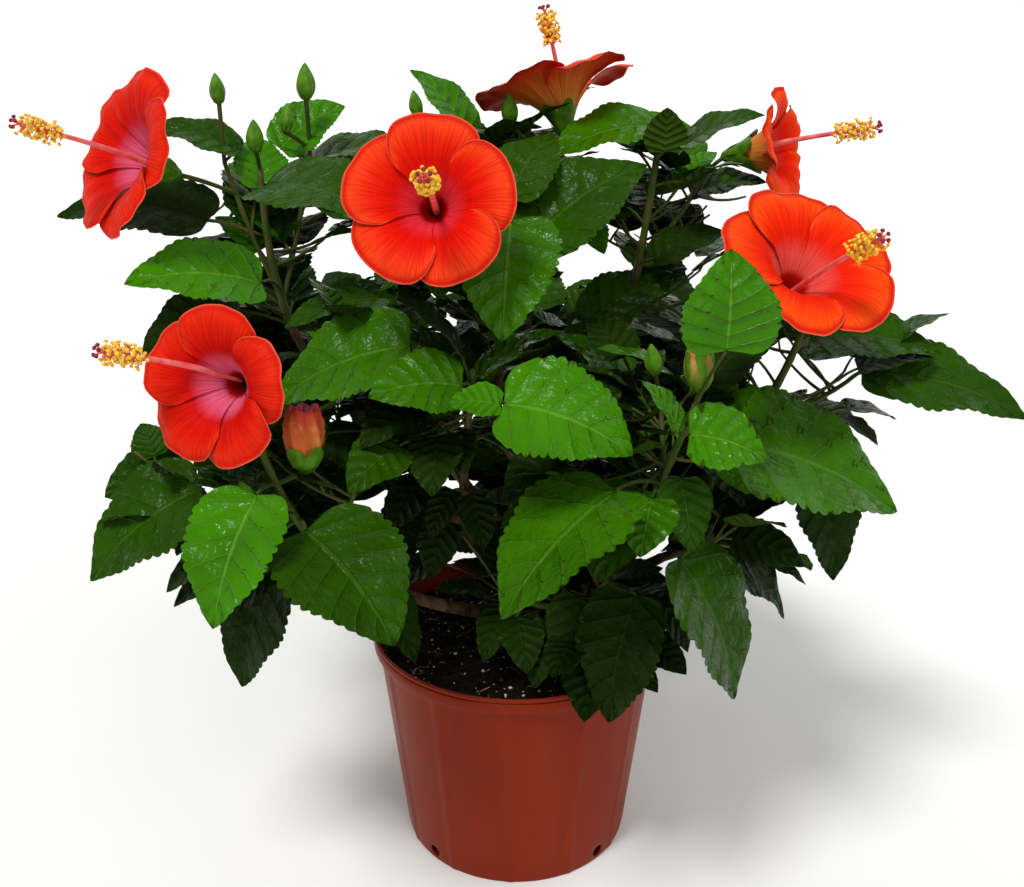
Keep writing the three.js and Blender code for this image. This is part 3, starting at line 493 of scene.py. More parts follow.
def bloom_samples(bloom):
    axes = axes_of(bloom["heading"], bloom["rise"])
    rings = []
    for radius, far in BLOOM_RINGS:
        count = max(4, math.floor(2 * math.pi * radius / SPACING + 0.5))
        angle = 2 * math.pi * np.arange(count) / count + math.pi / PETALS
        centre = bloom["base"] + axes[0] * far * bloom_stretch(bloom)
        rings.append(centre + around(axes, angle, radius * bloom_narrowing(bloom, far)))
    far = (np.arange(7) + 4) / 10 * COLUMN * bloom["column_share"]
    column = bloom["base"] + bloom["column_way"] * far[:, None]
    return np.concatenate([*rings, column])


class Taken:
    """The room taken so far, as points with a radius and an owner; some are of stems."""

    def __init__(self, capacity=80000):
        self.points = np.zeros((capacity, 3))
        self.radii = np.zeros(capacity)
        self.owners = np.zeros(capacity, "U12")
        self.stems = np.zeros(capacity, bool)
        self.count = 0

    def add(self, points, radius, owner, stem=False):
        places = slice(self.count, self.count + len(points))
        self.points[places] = points
        self.radii[places] = radius
        self.owners[places] = owner
        self.stems[places] = stem
        self.count += len(points)

    def is_free(self, points, radius, owner, stalk=False):
        """Whether these points of an owner keep clear; a stalk may pass its own stems."""
        centre = (points[0] + points[-1]) / 2
        reach = math.sqrt(np.max(np.sum((points - centre) ** 2, axis=1)))
        gaps = np.sum((self.points[:self.count] - centre) ** 2, axis=1)
        near = np.flatnonzero(gaps <= (reach + radius + self.radii[:self.count] + ROOM_APART) ** 2)
        own = self.owners[near] == owner
        if stalk:
            keep = ~(own & self.stems[near])
            near, own = near[keep], own[keep]
        least = radius + self.radii[near] + np.where(own, ROOM_OWN, ROOM_APART)
        apart = np.sum((self.points[near][:, None] - points[None]) ** 2, axis=-1)
        return bool(np.all(apart > least[:, None] ** 2))


def dips_into_pot(points):
    room = ROOM_LEAF + ROOM_OVER_POT
    over = np.hypot(points[:, 0], points[:, 1]) < RIM_RADIUS + room
    return bool(np.any(over & (points[:, 2] < POT_HEIGHT + room)))


def stalk_samples(foot, base):
    start = part_way(np.array([foot, base]), STALK_CLEAR)
    return path_samples(np.array([start, base]), STALK_SPACING)


def settle(make_leaf, owner, taken, tries, room=ROOM_LEAF, fits=None):
    """Try a leaf with small turns and lifts until one has room; None if none has."""
    for turn, lift in tries:
        leaf = make_leaf(turn, lift)
        blade = blade_samples(leaf)
        stalk = stalk_samples(leaf["foot"], leaf["base"])
        if dips_into_pot(blade) or (fits and not fits(blade)):
            continue
        if taken.is_free(blade, room, owner) and \
                taken.is_free(stalk, min(room, ROOM_STALK), owner, True):
            taken.add(blade, room, owner)
            taken.add(stalk, ROOM_STALK, owner)
            return leaf
    return None


def placed_leaf(mass, row, tint):
    """A leaf with a set place; its stalk finds the stem."""
    base, heading, rise, length, roll, *share = row
    foot = stalk_foot(mass, base, LEAF_STALK * length)
    return lambda turn, lift: {
        "base": np.array(base, float), "foot": foot, "length": length, "roll": roll,
        "share": share[0] if share else LEAF_SHARE, "heading": heading + turn,
        "rise": rise + lift, "tint": tint,
    }


def ruled_leaf(mass, number, chance):
    """The leaf with this number of those that grow by rule, in a spiral up the stems."""
    count, start, end, usual = mass["fill"]
    paths = stem_paths(mass)
    share = (number // len(paths) + 0.6) / math.ceil(count / len(paths))
    foot = part_way(paths[number % len(paths)], share)
    low, high = FILL_RISE
    heading = start + number * GOLDEN_TURN % (end - start) + FILL_WANDER * (next(chance) - 0.5)
    rise = low + (high - low) * share + FILL_WANDER * (next(chance) - 0.5)
    length = usual * (0.8 + 0.4 * next(chance))
    roll = FILL_ROLL * (next(chance) - 0.5)
    return lambda turn, lift: {
        "base": foot + way_of(heading + turn, rise + lift + 30) * FILL_STALK * length, "foot": foot,
        "length": length, "roll": roll, "share": LEAF_SHARE, "heading": heading + turn,
        "rise": rise + lift, "tint": ruled_tint_and_shade(foot[2], number),
    }


def ruled_tint_and_shade(height, number):
    """Tint of a leaf without a set place: paler high up, deep inside and below, which paints the
    crown's light and shade into the leaf as well as its own green.
    """
    light = smooth(height, 260, 540) + 0.4 * math.sin(number * 2.4)
    return "b" if light > 1.15 else "f" if light > 0.75 else "m" if light > 0.42 else "d"


def grow_all(limbs):
    """Everything that grows on the stems, in the order in which it takes its room."""
    taken = Taken()
    for name, limb in limbs.items():
        path = limb["path"]
        after = np.concatenate([path[1:], path[-1:]])
        for point, halfway, radius in zip(path, (path + after) / 2, limb["radii"]):
            taken.add(np.array([point, halfway]), radius, name)
    for mass in MASSES:
        for path in stem_paths(mass):
            taken.add(path_samples(path, SPACING), STEM_RADII[0], mass["name"], True)
    grown = [grow_flowers(mass, taken) for mass in MASSES]
    for plant in grown:
        mass = plant["mass"]
        plant["leaves"] = [settle(placed_leaf(mass, row, tint), mass["name"], taken, PLACED_TRIES)
                           for row, tint in zip(mass["leaves"], mass["tints"])]
    for start, end, radius in OPENINGS:
        line = path_samples(np.array([start, end], float), SPACING)
        taken.add(line, radius, "opening")
    for seed, plant in enumerate(grown):
        mass = plant["mass"]
        chance = seeded_chance(seed + 1)
        for number in range(mass["fill"][0]):
            leaf = settle(ruled_leaf(mass, number, chance), mass["name"], taken, FILL_TRIES)
            plant["leaves"].append(leaf)
        plant["leaves"] = [leaf for leaf in plant["leaves"] if leaf]
    return grown, taken


def grow_flowers(mass, taken):
    """The blooms and buds of a mass."""
    plant = {"mass": mass, "blooms": [], "buds": []}
    for base, heading, rise, spread, reach, *column in mass["blooms"]:
        turn, lift, share = column[0] if column else (heading, rise, 1)
        bloom = {"base": np.array(base, float), "heading": heading, "rise": rise, "reach": reach,
                 "spread": spread, "column_way": way_of(turn, lift), "column_share": share,
                 "foot": stalk_foot(mass, base, FLOWER_STALK)}
        stalk = stalk_samples(bloom["foot"], bloom["base"])
        taken.add(bloom_samples(bloom), ROOM_PETAL, mass["name"])
        taken.add(stalk, ROOM_BLOOM_STALK, mass["name"])
        plant["blooms"].append(bloom)
    for base, heading, rise, length in mass["buds"]:
        bud = {"base": np.array(base, float), "heading": heading, "rise": rise,
               "length": length, "foot": stalk_foot(mass, base, FLOWER_STALK)}
        body = np.array([bud["base"], bud["base"] + way_of(heading, rise) * length])
        stalk = stalk_samples(bud["foot"], bud["base"])
        taken.add(path_samples(body, SPACING), ROOM_BUD, mass["name"])
        taken.add(stalk, ROOM_BUD_STALK, mass["name"])
        plant["buds"].append(bud)
    return plant


# ---- finer growth by the same rule


def keep_air(grown, taken):
    """Keep the room before each bloom and one at the crown's edge free of finer leaves."""
    place, radius = AIR_AT_EDGE
    taken.add(np.array([place], float), radius, "air")
    for plant in grown:
        for bloom in plant["blooms"]:
            way = way_of(bloom["heading"], bloom["rise"])
            for far, radius in AIR_BEFORE_BLOOM:
                taken.add((bloom["base"] + way * far)[None], radius, "air")


def grow_finer(grown, taken):
    """Fine twigs off the stems of each mass, with small leaves, inside the mass's own reach."""
    keep_air(grown, taken)
    for seed, plant in enumerate(grown):
        mass = plant["mass"]
        chance = seeded_chance(seed + 101)
        corners = np.concatenate([blade_samples(leaf) for leaf in plant["leaves"]])
        low, high = corners.min(axis=0), corners.max(axis=0)
        plant["fine_twigs"] = []
        for number in range(round(mass["fill"][0] * FINE_TWIGS_PER_FILL)):
            twig, leaves = fine_twig(mass, number, chance)
            grown_leaves = [
                settle(leaf, mass["name"], taken, FILL_TRIES[:5], FINE_ROOM,
                       lambda blade: np.all(blade > low) and np.all(blade < high))
                for leaf in leaves
            ]
            grown_leaves = [leaf for leaf in grown_leaves if leaf]
            if grown_leaves:
                plant["fine_twigs"].append(twig)
                plant["leaves"] += grown_leaves


def fine_twig(mass, number, chance):
    """A short twig and the makers of its leaves, alternate along it with one at its tip."""
    _, start, end, _ = mass["fill"]
    paths = stem_paths(mass)
    foot = part_way(paths[number % len(paths)], 0.1 + 0.9 * next(chance))
    heading = start + (number * GOLDEN_TURN + 40 * next(chance)) % (end - start)
    rise = -25 + 70 * next(chance)
    length = FINE_TWIG[0] + FINE_TWIG[1] * next(chance)
    tip = foot + way_of(heading, rise) * length
    twig = (foot, (foot + tip) / 2 - np.array([0, 0, TWIG_SAG * length]), tip)
    leaves = []
    for place, turn in ((0.4, 60), (0.7, -60), (1, 5)):
        at = on_curve(*twig, place)
        size = FINE_LEAF[0] + FINE_LEAF[1] * next(chance)
        leaves.append(fine_leaf(at, heading + turn, rise - 10, size, next(chance), number))
    return twig, leaves


def fine_leaf(foot, heading, rise, length, chance, number):
    return lambda turn, lift: {
        "base": foot + way_of(heading + turn, rise + lift + 25) * 0.3 * length, "foot": foot,
        "length": length, "roll": 50 * (chance - 0.5), "share": LEAF_SHARE + 0.03,
        "heading": heading + turn, "rise": rise + lift,
        # Counted 40 mm lower than they stand, so these inner leaves take more of the painted shade.
        "tint": ruled_tint_and_shade(foot[2] - 40, number + 7 * chance),
    }


# ---- meshes


def put(name, data):
    """A new object of the scene with this mesh, light or camera."""
    thing = bpy.data.objects.new(name, data)
    bpy.context.scene.collection.objects.link(thing)
    return thing


class Patches:
    """Grids of points gathered into one mesh, with a material and values for each."""

    def __init__(self, *value_names):
        self.points = []
        self.faces = []
        self.materials = []
        self.values = {name: [] for name in value_names}
        self.count = 0

    def grid(self, points, material=0, closed=True, **values):
        """Add a grid of points (rows, columns, 3); closed joins its last column to its first."""
        rows, columns = points.shape[:2]
        index = self.count + np.arange(rows * columns).reshape(rows, columns)
        if closed:
            index = np.concatenate([index, index[:, :1]], axis=1)
        corners = index[:-1, :-1], index[:-1, 1:], index[1:, 1:], index[1:, :-1]
        quads = np.stack(corners, axis=-1).reshape(-1, 4)
        self.points.append(points.reshape(-1, 3))
        self.faces.append(quads)
        self.materials.append(np.full(len(quads), material))
        for name, gathered in self.values.items():
            value = np.broadcast_to(values.get(name, 0.0), (rows, columns))
            gathered.append(value.reshape(-1))
        self.count += rows * columns

    def piece(self, name, looks, slot):
        """The mesh object of all grids, in metres, riding with the plant."""
        mesh = bpy.data.meshes.new(name)
        points = np.concatenate(self.points) * METRES
        mesh.from_pydata(points.tolist(), [], np.concatenate(self.faces).tolist(), False)
        for look in looks:
            mesh.materials.append(look)
        mesh.polygons.foreach_set("material_index", np.concatenate(self.materials).astype(np.int32))
        for value_name, gathered in self.values.items():
            attribute = mesh.attributes.new(value_name, "FLOAT", "POINT")
            attribute.data.foreach_set("value", np.concatenate(gathered).astype(np.float32))
        mesh.update()
        piece = put(name, mesh)
        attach(piece, "root")
        return piece


def turns(count):
    """Angles evenly round a full turn."""
    return np.arange(count) * 2 * math.pi / count


def tube_grid(path, radii, sides, relief=None):
    """Rings across a path, each turned as little as can be from the one before."""
    path = np.asarray(path, float)
    ways = unit(np.gradient(path, axis=0))
    side = np.array([1.0, 0, 0]) if abs(ways[0][2]) > 0.9 else np.array([0, 0, 1.0])
    angle = turns(sides)
    rings = []
    for k, way in enumerate(ways):
        side = unit(side - way * (side @ way))
        out = around((way, side, np.cross(way, side)), angle)
        radius = radii[k] * (1 if relief is None else relief[k])
        rings.append(path[k] + out * np.broadcast_to(radius, sides)[:, None])
    return np.array(rings)


def capped(grid):
    """The same closed rings with a middle point at both ends."""
    first = np.broadcast_to(grid[0].mean(axis=0), grid[0].shape)
    last = np.broadcast_to(grid[-1].mean(axis=0), grid[-1].shape)
    return np.concatenate([first[None], grid, last[None]])


def round_grid(centre, radii, way, rings=5, sides=7):
    """A closed rounded grain with this radius along the way and that across it."""
    along, across = radii
    way = unit(way)
    turn = np.linspace(0, math.pi, rings)
    path = np.asarray(centre) - np.outer(np.cos(turn), way) * along
    return tube_grid(path, np.maximum(np.sin(turn), 0.02) * across, sides)


# ---- leaves

# Least length, teeth along an edge and steps per tooth.
LEAF_GRADES = ((80, 15, 3), (55, 13, 2), (0, 8, 2))
NOTCHES = {3: [-0.7, 0.25, 0.45], 2: [-0.5, 0.5]}  # how far out each step of a tooth lies
LEAF_COLUMNS = np.array([-1, -0.86, -0.6, -0.33, -0.08, 0, 0.08, 0.33, 0.6, 0.86, 1])
SMALL_LEAF = 55
SMALL_LEAF_COLUMNS = np.array([-1, -0.62, -0.09, 0.09, 0.62, 1])
LEAF_THICKNESS = 0.6
LATERAL_VEINS = 6.5
VEIN_SLANT = 0.2
FOLIAGE_PIECES = 6
UNDER_SIDE = len(TINTS)  # place of its look, after those of the tints


def leaf_sheets(leaf, number):
    """Top and under side of a toothed, quilted blade, and each point's place in it."""
    length = leaf["length"]
    teeth, per_tooth = next(grade[1:] for grade in LEAF_GRADES if length >= grade[0])
    steps = teeth * per_tooth
    columns = LEAF_COLUMNS if length >= SMALL_LEAF else SMALL_LEAF_COLUMNS
    points, side, up, way = (rows[:, None] for rows in midrib(leaf, steps))
    share = (np.arange(steps + 1) / steps)[:, None]
    across = columns[None]
    edge = np.abs(across)
    wide = half_width(leaf, share)

    notch = np.array(NOTCHES[per_tooth])[np.arange(steps + 1) % per_tooth]
    tooth = notch[:, None] * smooth(share, 0.08, 0.25)
    reach = wide * across * (1 + 0.05 * tooth * (edge > 0.95) + 0.012 * tooth * (edge > 0.7))
    back = 0.3 * wide * edge ** 2 * np.exp(-(share / 0.16) ** 2)

    quilt = np.abs(np.sin(math.pi * LATERAL_VEINS * (share - VEIN_SLANT * edge))) ** 0.7 - 0.5
    quilt = quilt * smooth(edge, 0.02, 0.25) * (1 - edge ** 4) * smooth(share, 0, 0.15)
    groove = np.exp(-(across / 0.07) ** 2) * (1 - share)
    wave = np.sin(2 * math.pi * (2.3 * share + 0.37 * number) + 1.3 * np.sign(across))
    lift = LEAF_CUP * wide * edge ** 1.3 + length * (
        0.03 * quilt - 0.014 * groove + 0.022 * wave * edge ** 2 * np.sin(math.pi * share))
    top = points + side * reach[..., None] + up * lift[..., None] - way * back[..., None]
    under = top - up * (LEAF_THICKNESS * (1 - edge ** 6) * smooth(wide, 0, 4))[..., None]
    return top, under, *np.broadcast_arrays(share, across)


def leaf_pieces(grown, looks):
    """All leaves in a few joined pieces, each standing for the nodes of its masses."""
    number = 0
    for place, group in enumerate(np.array_split(np.arange(len(grown)), FOLIAGE_PIECES)):
        patches = Patches("along", "across")
        for plant in (grown[k] for k in group):
            for leaf in plant["leaves"]:
                number += 1
                top, under, along, across = leaf_sheets(leaf, number)
                tint = TINTS.index(leaf["tint"])
                patches.grid(top, tint, False, along=along, across=across)
                patches.grid(under[:, ::-1], UNDER_SIDE, False, along=along, across=across[:, ::-1])
        piece = patches.piece(f"foliage_{place + 1}", looks, "foliage")
        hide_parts(*(f"leaves_{grown[k]['mass']['name']}" for k in group))


# ---- stems and bark


STALK_RINGS = 7
STEM_GRID = 31, 10  # rings and sides
KNOTS_APART = 19
FINE_TWIG_GRID = 7, 5
FINE_TWIG_RADII = 1.4, 0.9
FLOWER_STALK_RADII = 1.5, 1.7


def stalk_path(foot, base, rise):
    """A stalk that leaves its stem and arches up a little on the way."""
    bend = (foot + base) / 2 + np.array([0, 0, rise]) * np.linalg.norm(base - foot)
    return on_curve(foot, bend, base, np.linspace(0, 1, STALK_RINGS))


def knotted(path, base, tip):
    """Radii from base to tip with a small swelling where leaves sat."""
    far = np.concatenate([[0], np.cumsum(np.linalg.norm(np.diff(path, axis=0), axis=1))])
    plain = base + (tip - base) * far / far[-1]
    return plain * (1 + 0.16 * np.exp(-((far % KNOTS_APART - KNOTS_APART / 2) / 2.2) ** 2))


def stem_piece(grown, looks):
    """Stems, twigs and stalks: woody low down, green towards the tips."""
    patches = Patches()
    woody, green = 0, 1
    for plant in grown:
        for k, curve in enumerate(stem_curves(plant["mass"])):
            rings, sides = STEM_GRID
            path = on_curve(*curve, np.linspace(0, 1, rings))
            radii = knotted(path, *(STEM_RADII if k == 0 else TWIG_RADII))
            stem = capped(tube_grid(path, radii, sides))
            cut = len(stem) // 2 if k == 0 else 2
            patches.grid(stem[:cut + 1], woody)
            patches.grid(stem[cut:], green)
        for curve in plant["fine_twigs"]:
            rings, sides = FINE_TWIG_GRID
            path = on_curve(*curve, np.linspace(0, 1, rings))
            radii = np.linspace(*FINE_TWIG_RADII, rings)
            patches.grid(capped(tube_grid(path, radii, sides)), green)
        for leaf in plant["leaves"]:
            radius = 0.55 + 0.007 * leaf["length"]
            radii = np.linspace(radius * 1.25, radius, STALK_RINGS)
            path = stalk_path(leaf["foot"], leaf["base"], 0.12)
            patches.grid(tube_grid(path, radii, 5), green)
        for flower in plant["blooms"] + plant["buds"]:
            radii = np.linspace(*FLOWER_STALK_RADII, STALK_RINGS)
            path = stalk_path(flower["foot"], flower["base"], 0.05)
            patches.grid(tube_grid(path, radii, 8), green)
    piece = patches.piece("stems", looks, "foliage")
    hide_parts(*(f"leaves_{plant['mass']['name']}" for plant in grown))


def bark_relief(rings, sides, chance):
    """Shallow ridges along a limb and rings round it, as factors on the radius."""
    angle = turns(sides)
    along = np.arange(rings)[:, None]
    relief = np.ones((rings, sides))
    for waves, depth in ((3, 0.035), (5, 0.028), (9, 0.018)):
        drift = 0.07 * along * (next(chance) - 0.5)
        relief += depth * np.sin(waves * angle + 2 * math.pi * next(chance) + drift)
    relief += 0.018 * np.sin(along * 1.9 + 3 * next(chance)) * np.ones(sides)
    return relief


TRUNK_GRID = 45, 40  # rings and sides
BOUGH_GRID = 40, 20


def trunk_rings(limb, chance):
    """The trunk's many-sided skin from just under the soil's face to the fork."""
    rings, sides = TRUNK_GRID
    heights = np.linspace(0, 1, rings)
    path = [np.interp(heights, TRUNK_SHARES, part) for part in limb["path"].T]
    radii = np.interp(heights, TRUNK_SHARES, limb["radii"])
    return tube_grid(np.stack(path, axis=1), radii, sides, bark_relief(rings, sides, chance))


def bough_rings(limb, chance):
    rings, sides = BOUGH_GRID
    t = np.linspace(0, 1, rings)
    relief = bark_relief(rings, sides, chance)
    return tube_grid(on_curve(*limb["curve"], t), bough_radii(limb["radii"][0], t), sides, relief)


def bark_piece(limbs, looks):
    patches = Patches()
    chance = seeded_chance(77)
    for name, limb in limbs.items():
        rings = trunk_rings if name == "trunk" else bough_rings
        patches.grid(capped(rings(limb, chance)))
    piece = patches.piece("bark", looks, "bark")
    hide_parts("trunk", *(f"bough_{row[0]}" for row in BOUGHS))


# ---- blooms and buds

PETAL_GRID = 29, 25  # rows from the middle to the rim, columns across
PETAL_TURN = 14
PETAL_BACK = 3  # place of its look, after those of the three hues of faces
# Distance from the bloom's base at shares of the way from its middle to the petals' rim.
PETAL_PROFILE = (
    (0.0, 0.08, 0.17, 0.27, 0.4, 0.55, 0.7, 0.85, 1.0),
    (4, 10, 17, 24.5, 31.5, 36, 38.6, 40, 40),
)


def petal_sheets(bloom, petal, number):
    """Face and back of one petal as a fan of rows, and each point's place in it."""
    rows, columns = PETAL_GRID
    row = np.linspace(0.05, 1, rows)[:, None]
    across = np.linspace(-1, 1, columns)[None]
    edge = np.abs(across)
    out = row * (1 - 0.42 * edge ** 4 * smooth(row, 0.3, 0.9))
    narrow = 1 - (1 - bloom["spread"]) * smooth(out, 0, 0.5)
    radius = BLOOM_RADIUS * bloom["reach"] * out * narrow
    half_angle = math.radians(40) + math.radians(10) * smooth(out, 0.08, 0.6)
    angle = math.radians(360 / PETALS * petal + PETAL_TURN) + across * half_angle

    phase = 1.7 * petal + 2.3 * number
    ruffle = 2.4 * out ** 4 * np.sin(5 * across + phase)
    ruffle = ruffle + 0.6 * out ** 7 * np.sin(15 * across + phase)
    crease = 0.7 * np.sin(15 * across + phase) * smooth(out, 0.15, 0.6) * (1 - 0.4 * out)
    overlap = 2.6 * across * smooth(out, 0.08, 0.5)
    crown = 3 * (1 - edge ** 2) * smooth(out, 0.2, 0.6) - 5 * smooth(out, 0.75, 1.05)
    far = np.interp(out, *PETAL_PROFILE) * bloom_stretch(bloom)
    far = far + ruffle + crease + overlap + crown * (0.7 + 0.3 * math.sin(phase))

    axes = axes_of(bloom["heading"], bloom["rise"])
    way, radial = axes[0], around(axes, angle)
    face = bloom["base"] + way * far[..., None] + radial * radius[..., None]
    inner = (1 - edge ** 6) * (1 - row ** 8)
    back = face - (way * 0.8 - radial * 0.35) * (0.7 * inner)[..., None]
    return face, back, np.broadcast_to(row, out.shape), across + 2.2 * petal


def blossom_piece(grown, looks):
    """The petals of all blooms."""
    patches = Patches("out", "turn")
    for seed, plant in enumerate(grown):
        for bloom in plant["blooms"]:
            for petal in range(PETALS):
                face, back, out, turn = petal_sheets(bloom, petal, seed)
                patches.grid(face, plant["mass"]["hue"], False, out=out, turn=turn)
                patches.grid(back[:, ::-1], PETAL_BACK, False, out=out[:, ::-1], turn=turn[:, ::-1])
    patches.piece("blossom", looks, "foliage")


COLUMN_ENDS = 8, 99  # distances from the bloom's base
COLUMN_RINGS = 20
COLUMN_ARCH = 2.2
ANTHERS = 100
ANTHERS_FROM = 66  # of COLUMN_PARTS along the column
ANTHERS_OVER = 23
COLUMN_PARTS = 90
STIGMAS = 5
SEPALS = 5
BRACTS = 7
BRACT_RADII = 0.95 * np.array([0.9, 1.1, 1.1, 0.9, 0.6, 0.12])


def add_column(patches, bloom, chance):
    """The column out of a bloom's throat with its anthers and stigma pads."""
    rose, gold, maroon, filament = range(4)
    way = bloom["column_way"]
    side = unit(np.cross([0, 0, 1], way))
    axes = way, side, np.cross(way, side)
    start, end = COLUMN_ENDS
    far = np.linspace(start, end * bloom["column_share"], COLUMN_RINGS)
    arch = axes[2] * (COLUMN_ARCH * np.sin(far / far[-1] * math.pi))[:, None]
    path = bloom["base"] + way * far[:, None] + arch
    patches.grid(tube_grid(path, np.linspace(2.2, 1.2, COLUMN_RINGS), 10), rose)
    for k in range(ANTHERS):
        share = k / (ANTHERS - 1)
        start = part_way(path, (ANTHERS_FROM + ANTHERS_OVER * share) / COLUMN_PARTS)
        out = around(axes, math.radians(GOLDEN_TURN * k))
        tip = start + out * (3.4 + 4 * next(chance)) + way * (0.5 + 2.4 * next(chance))
        patches.grid(tube_grid(np.linspace(start, tip, 3), [0.3, 0.26, 0.22], 3), filament)
        grain = round_grid(tip, (0.95, 1.15 + 0.5 * next(chance)), out + way * 0.3)
        patches.grid(grain, gold)
    for k in range(STIGMAS):
        out = around(axes, math.radians(360 / STIGMAS * k + 20))
        tip = path[-1] + way * 5 + out * 3.4
        branch = on_curve(path[-1], path[-1] + way * 3.6 + out * 0.8, tip, np.linspace(0, 1, 6))
        patches.grid(tube_grid(branch, np.full(6, 0.5), 5), rose)
        patches.grid(round_grid(tip, (1.1, 1.45), out + way, 6, 9), maroon)


def column_piece(grown, looks):
    patches = Patches()
    chance = seeded_chance(404)
    for plant in grown:
        for bloom in plant["blooms"]:
            add_column(patches, bloom, chance)
    patches.piece("columns", looks, "foliage")


def sepal_cup(base, axes, rows, depth, flare=0):
    """Rings of a cup about a way from rows of distance and radius, its mouth cut into lobes."""
    angle = turns(SEPALS * 8)
    lobe = np.abs(np.cos(SEPALS * angle / 2)) ** 0.8
    rings = []
    for k, (far, radius) in enumerate(rows):
        share = k / (len(rows) - 1)
        reach = far + depth * share ** 2 * lobe
        out = radius * (1 + 0.05 * np.cos(SEPALS * angle)) + flare * share ** 3 * lobe
        rings.append(base + axes[0] * reach[:, None] + around(axes, angle, out))
    return np.array(rings)


def add_bracts(patches, base, axes, length, radius, material):
    """The narrow leaflets below a calyx, curving up and out."""
    way = axes[0]
    for k in range(BRACTS):
        out = around(axes, 2 * math.pi * (k + 0.3) / BRACTS)
        bend = base + way * length * 0.2 + out * (radius + 2)
        tip = base + way * length + out * (radius + 0.42 * length)
        path = on_curve(base + out * 1.2, bend, tip, np.linspace(0, 1, len(BRACT_RADII)))
        patches.grid(tube_grid(path, BRACT_RADII, 5), material)


# Distance from the base and radius of a cup of sepals.
CALYX = (-4, 0.4), (-2, 3.6), (2, 5.4), (8, 7.2), (13, 9.4), (16, 11)
SPENT_CUP = (-2, 0.4), (0, 4), (4, 8.6), (9, 11.2), (12, 12.6)
COLOURED_CUP = (-2, 0.4), (0, 3.5), (5, 7.4), (12, 8.6), (20, 8)
# The same of a spent bloom, up its outside and down into its mouth.
SPENT_PROFILE = ((0, 3), (5, 7), (11, 9.6), (20, 11.6), (30, 11.8), (37, 10.2), (41, 8.8),
                 (40, 6.5), (36, 4.5), (31, 3))
SPENT_OUTSIDE = 25  # the ring at its mouth
BUD_GRID = 18, 40  # rings and sides
SPENT_GRID = 37, 60


def bud_rings(bud, axes, width, twist):
    """The body of a bud: pleated rings that close to a point."""
    rings, sides = BUD_GRID
    share, angle = np.linspace(0, 1, rings)[:, None], turns(sides)[None]
    profile = np.sin(math.pi * share ** 0.72) ** 0.75 + 0.12 * (1 - share)
    pleat = 1 + 0.07 * np.cos(PETALS * (angle + twist * share)) * np.sin(math.pi * share)
    out = width * bud["length"] * profile * pleat
    return bud["base"] + axes[0] * (bud["length"] * share)[..., None] + around(axes, angle, out)


def spent_rings(bud, axes):
    """A bloom past its best: its petals rolled into a crumpled barrel, open at the top."""
    rings, sides = SPENT_GRID
    rows = range(len(SPENT_PROFILE))
    fine = np.linspace(0, rows[-1], rings)
    far, radius = (np.interp(fine, rows, part)[:, None] for part in zip(*SPENT_PROFILE))
    angle = turns(sides)[None]
    fold = 1 + 0.1 * np.sin(5 * angle + 0.05 * far) + 0.05 * np.sin(13 * angle + 0.2 * far)
    fold = fold + 0.03 * np.sin(0.9 * far + 3 * angle)
    crown = 2.4 * np.sin(5 * angle + 1) * smooth(fine, 5, 7)[:, None]
    return bud["base"] + axes[0] * (far + crown)[..., None] + around(axes, angle, radius * fold)


def bud_piece(grown, looks):
    """Buds, the spent bloom, and the calyx under each bloom."""
    green, bract, rosy, wilted, hollow = range(5)
    patches = Patches("out")
    for plant in grown:
        for bloom in plant["blooms"]:
            base, axes = bloom["base"], axes_of(bloom["heading"], bloom["rise"])
            patches.grid(sepal_cup(base, axes, CALYX, 8, 5), green)
            add_bracts(patches, base, axes, 11, 4.5, bract)
        for number, bud in enumerate(plant["buds"]):
            base, axes = bud["base"], axes_of(bud["heading"], bud["rise"])
            if (plant["mass"]["name"], number) == SPENT_BLOOM:
                rings = spent_rings(bud, axes)
                out = np.linspace(0, 1, SPENT_OUTSIDE + 1)[:, None]
                patches.grid(rings[:SPENT_OUTSIDE + 1], wilted, out=out)
                # The inside of the mouth: the petals' inner red, darkened as painted shade of the
                # hollow.
                patches.grid(rings[SPENT_OUTSIDE:], hollow)
                patches.grid(sepal_cup(base, axes, SPENT_CUP, 6), green)
            elif (plant["mass"]["name"], number) == COLOURED_BUD:
                out = np.linspace(0, 1, BUD_GRID[0])[:, None]
                patches.grid(bud_rings(bud, axes, 0.21, 1.2), rosy, out=out)
                patches.grid(sepal_cup(base, axes, COLOURED_CUP, 6), green)
            else:
                patches.grid(bud_rings(bud, axes, 0.25, 0.5), green)
            add_bracts(patches, base, axes, 0.3 * bud["length"], 0.1 * bud["length"], bract)
    patches.piece("buds", looks, "foliage")


# ---- pot and soil

POT_SIDES = 240
PANELS = 12
PANEL_TURN = -93
PANEL_DIP = 1
HOLES = 4
HOLE_RADIUS = 5
HOLE_HEIGHT = 9
HOLE_CUT = [80, 84, 96, 98]  # distances from the pot's axis along a cutter
WELD_GAP = 0.00003  # metres
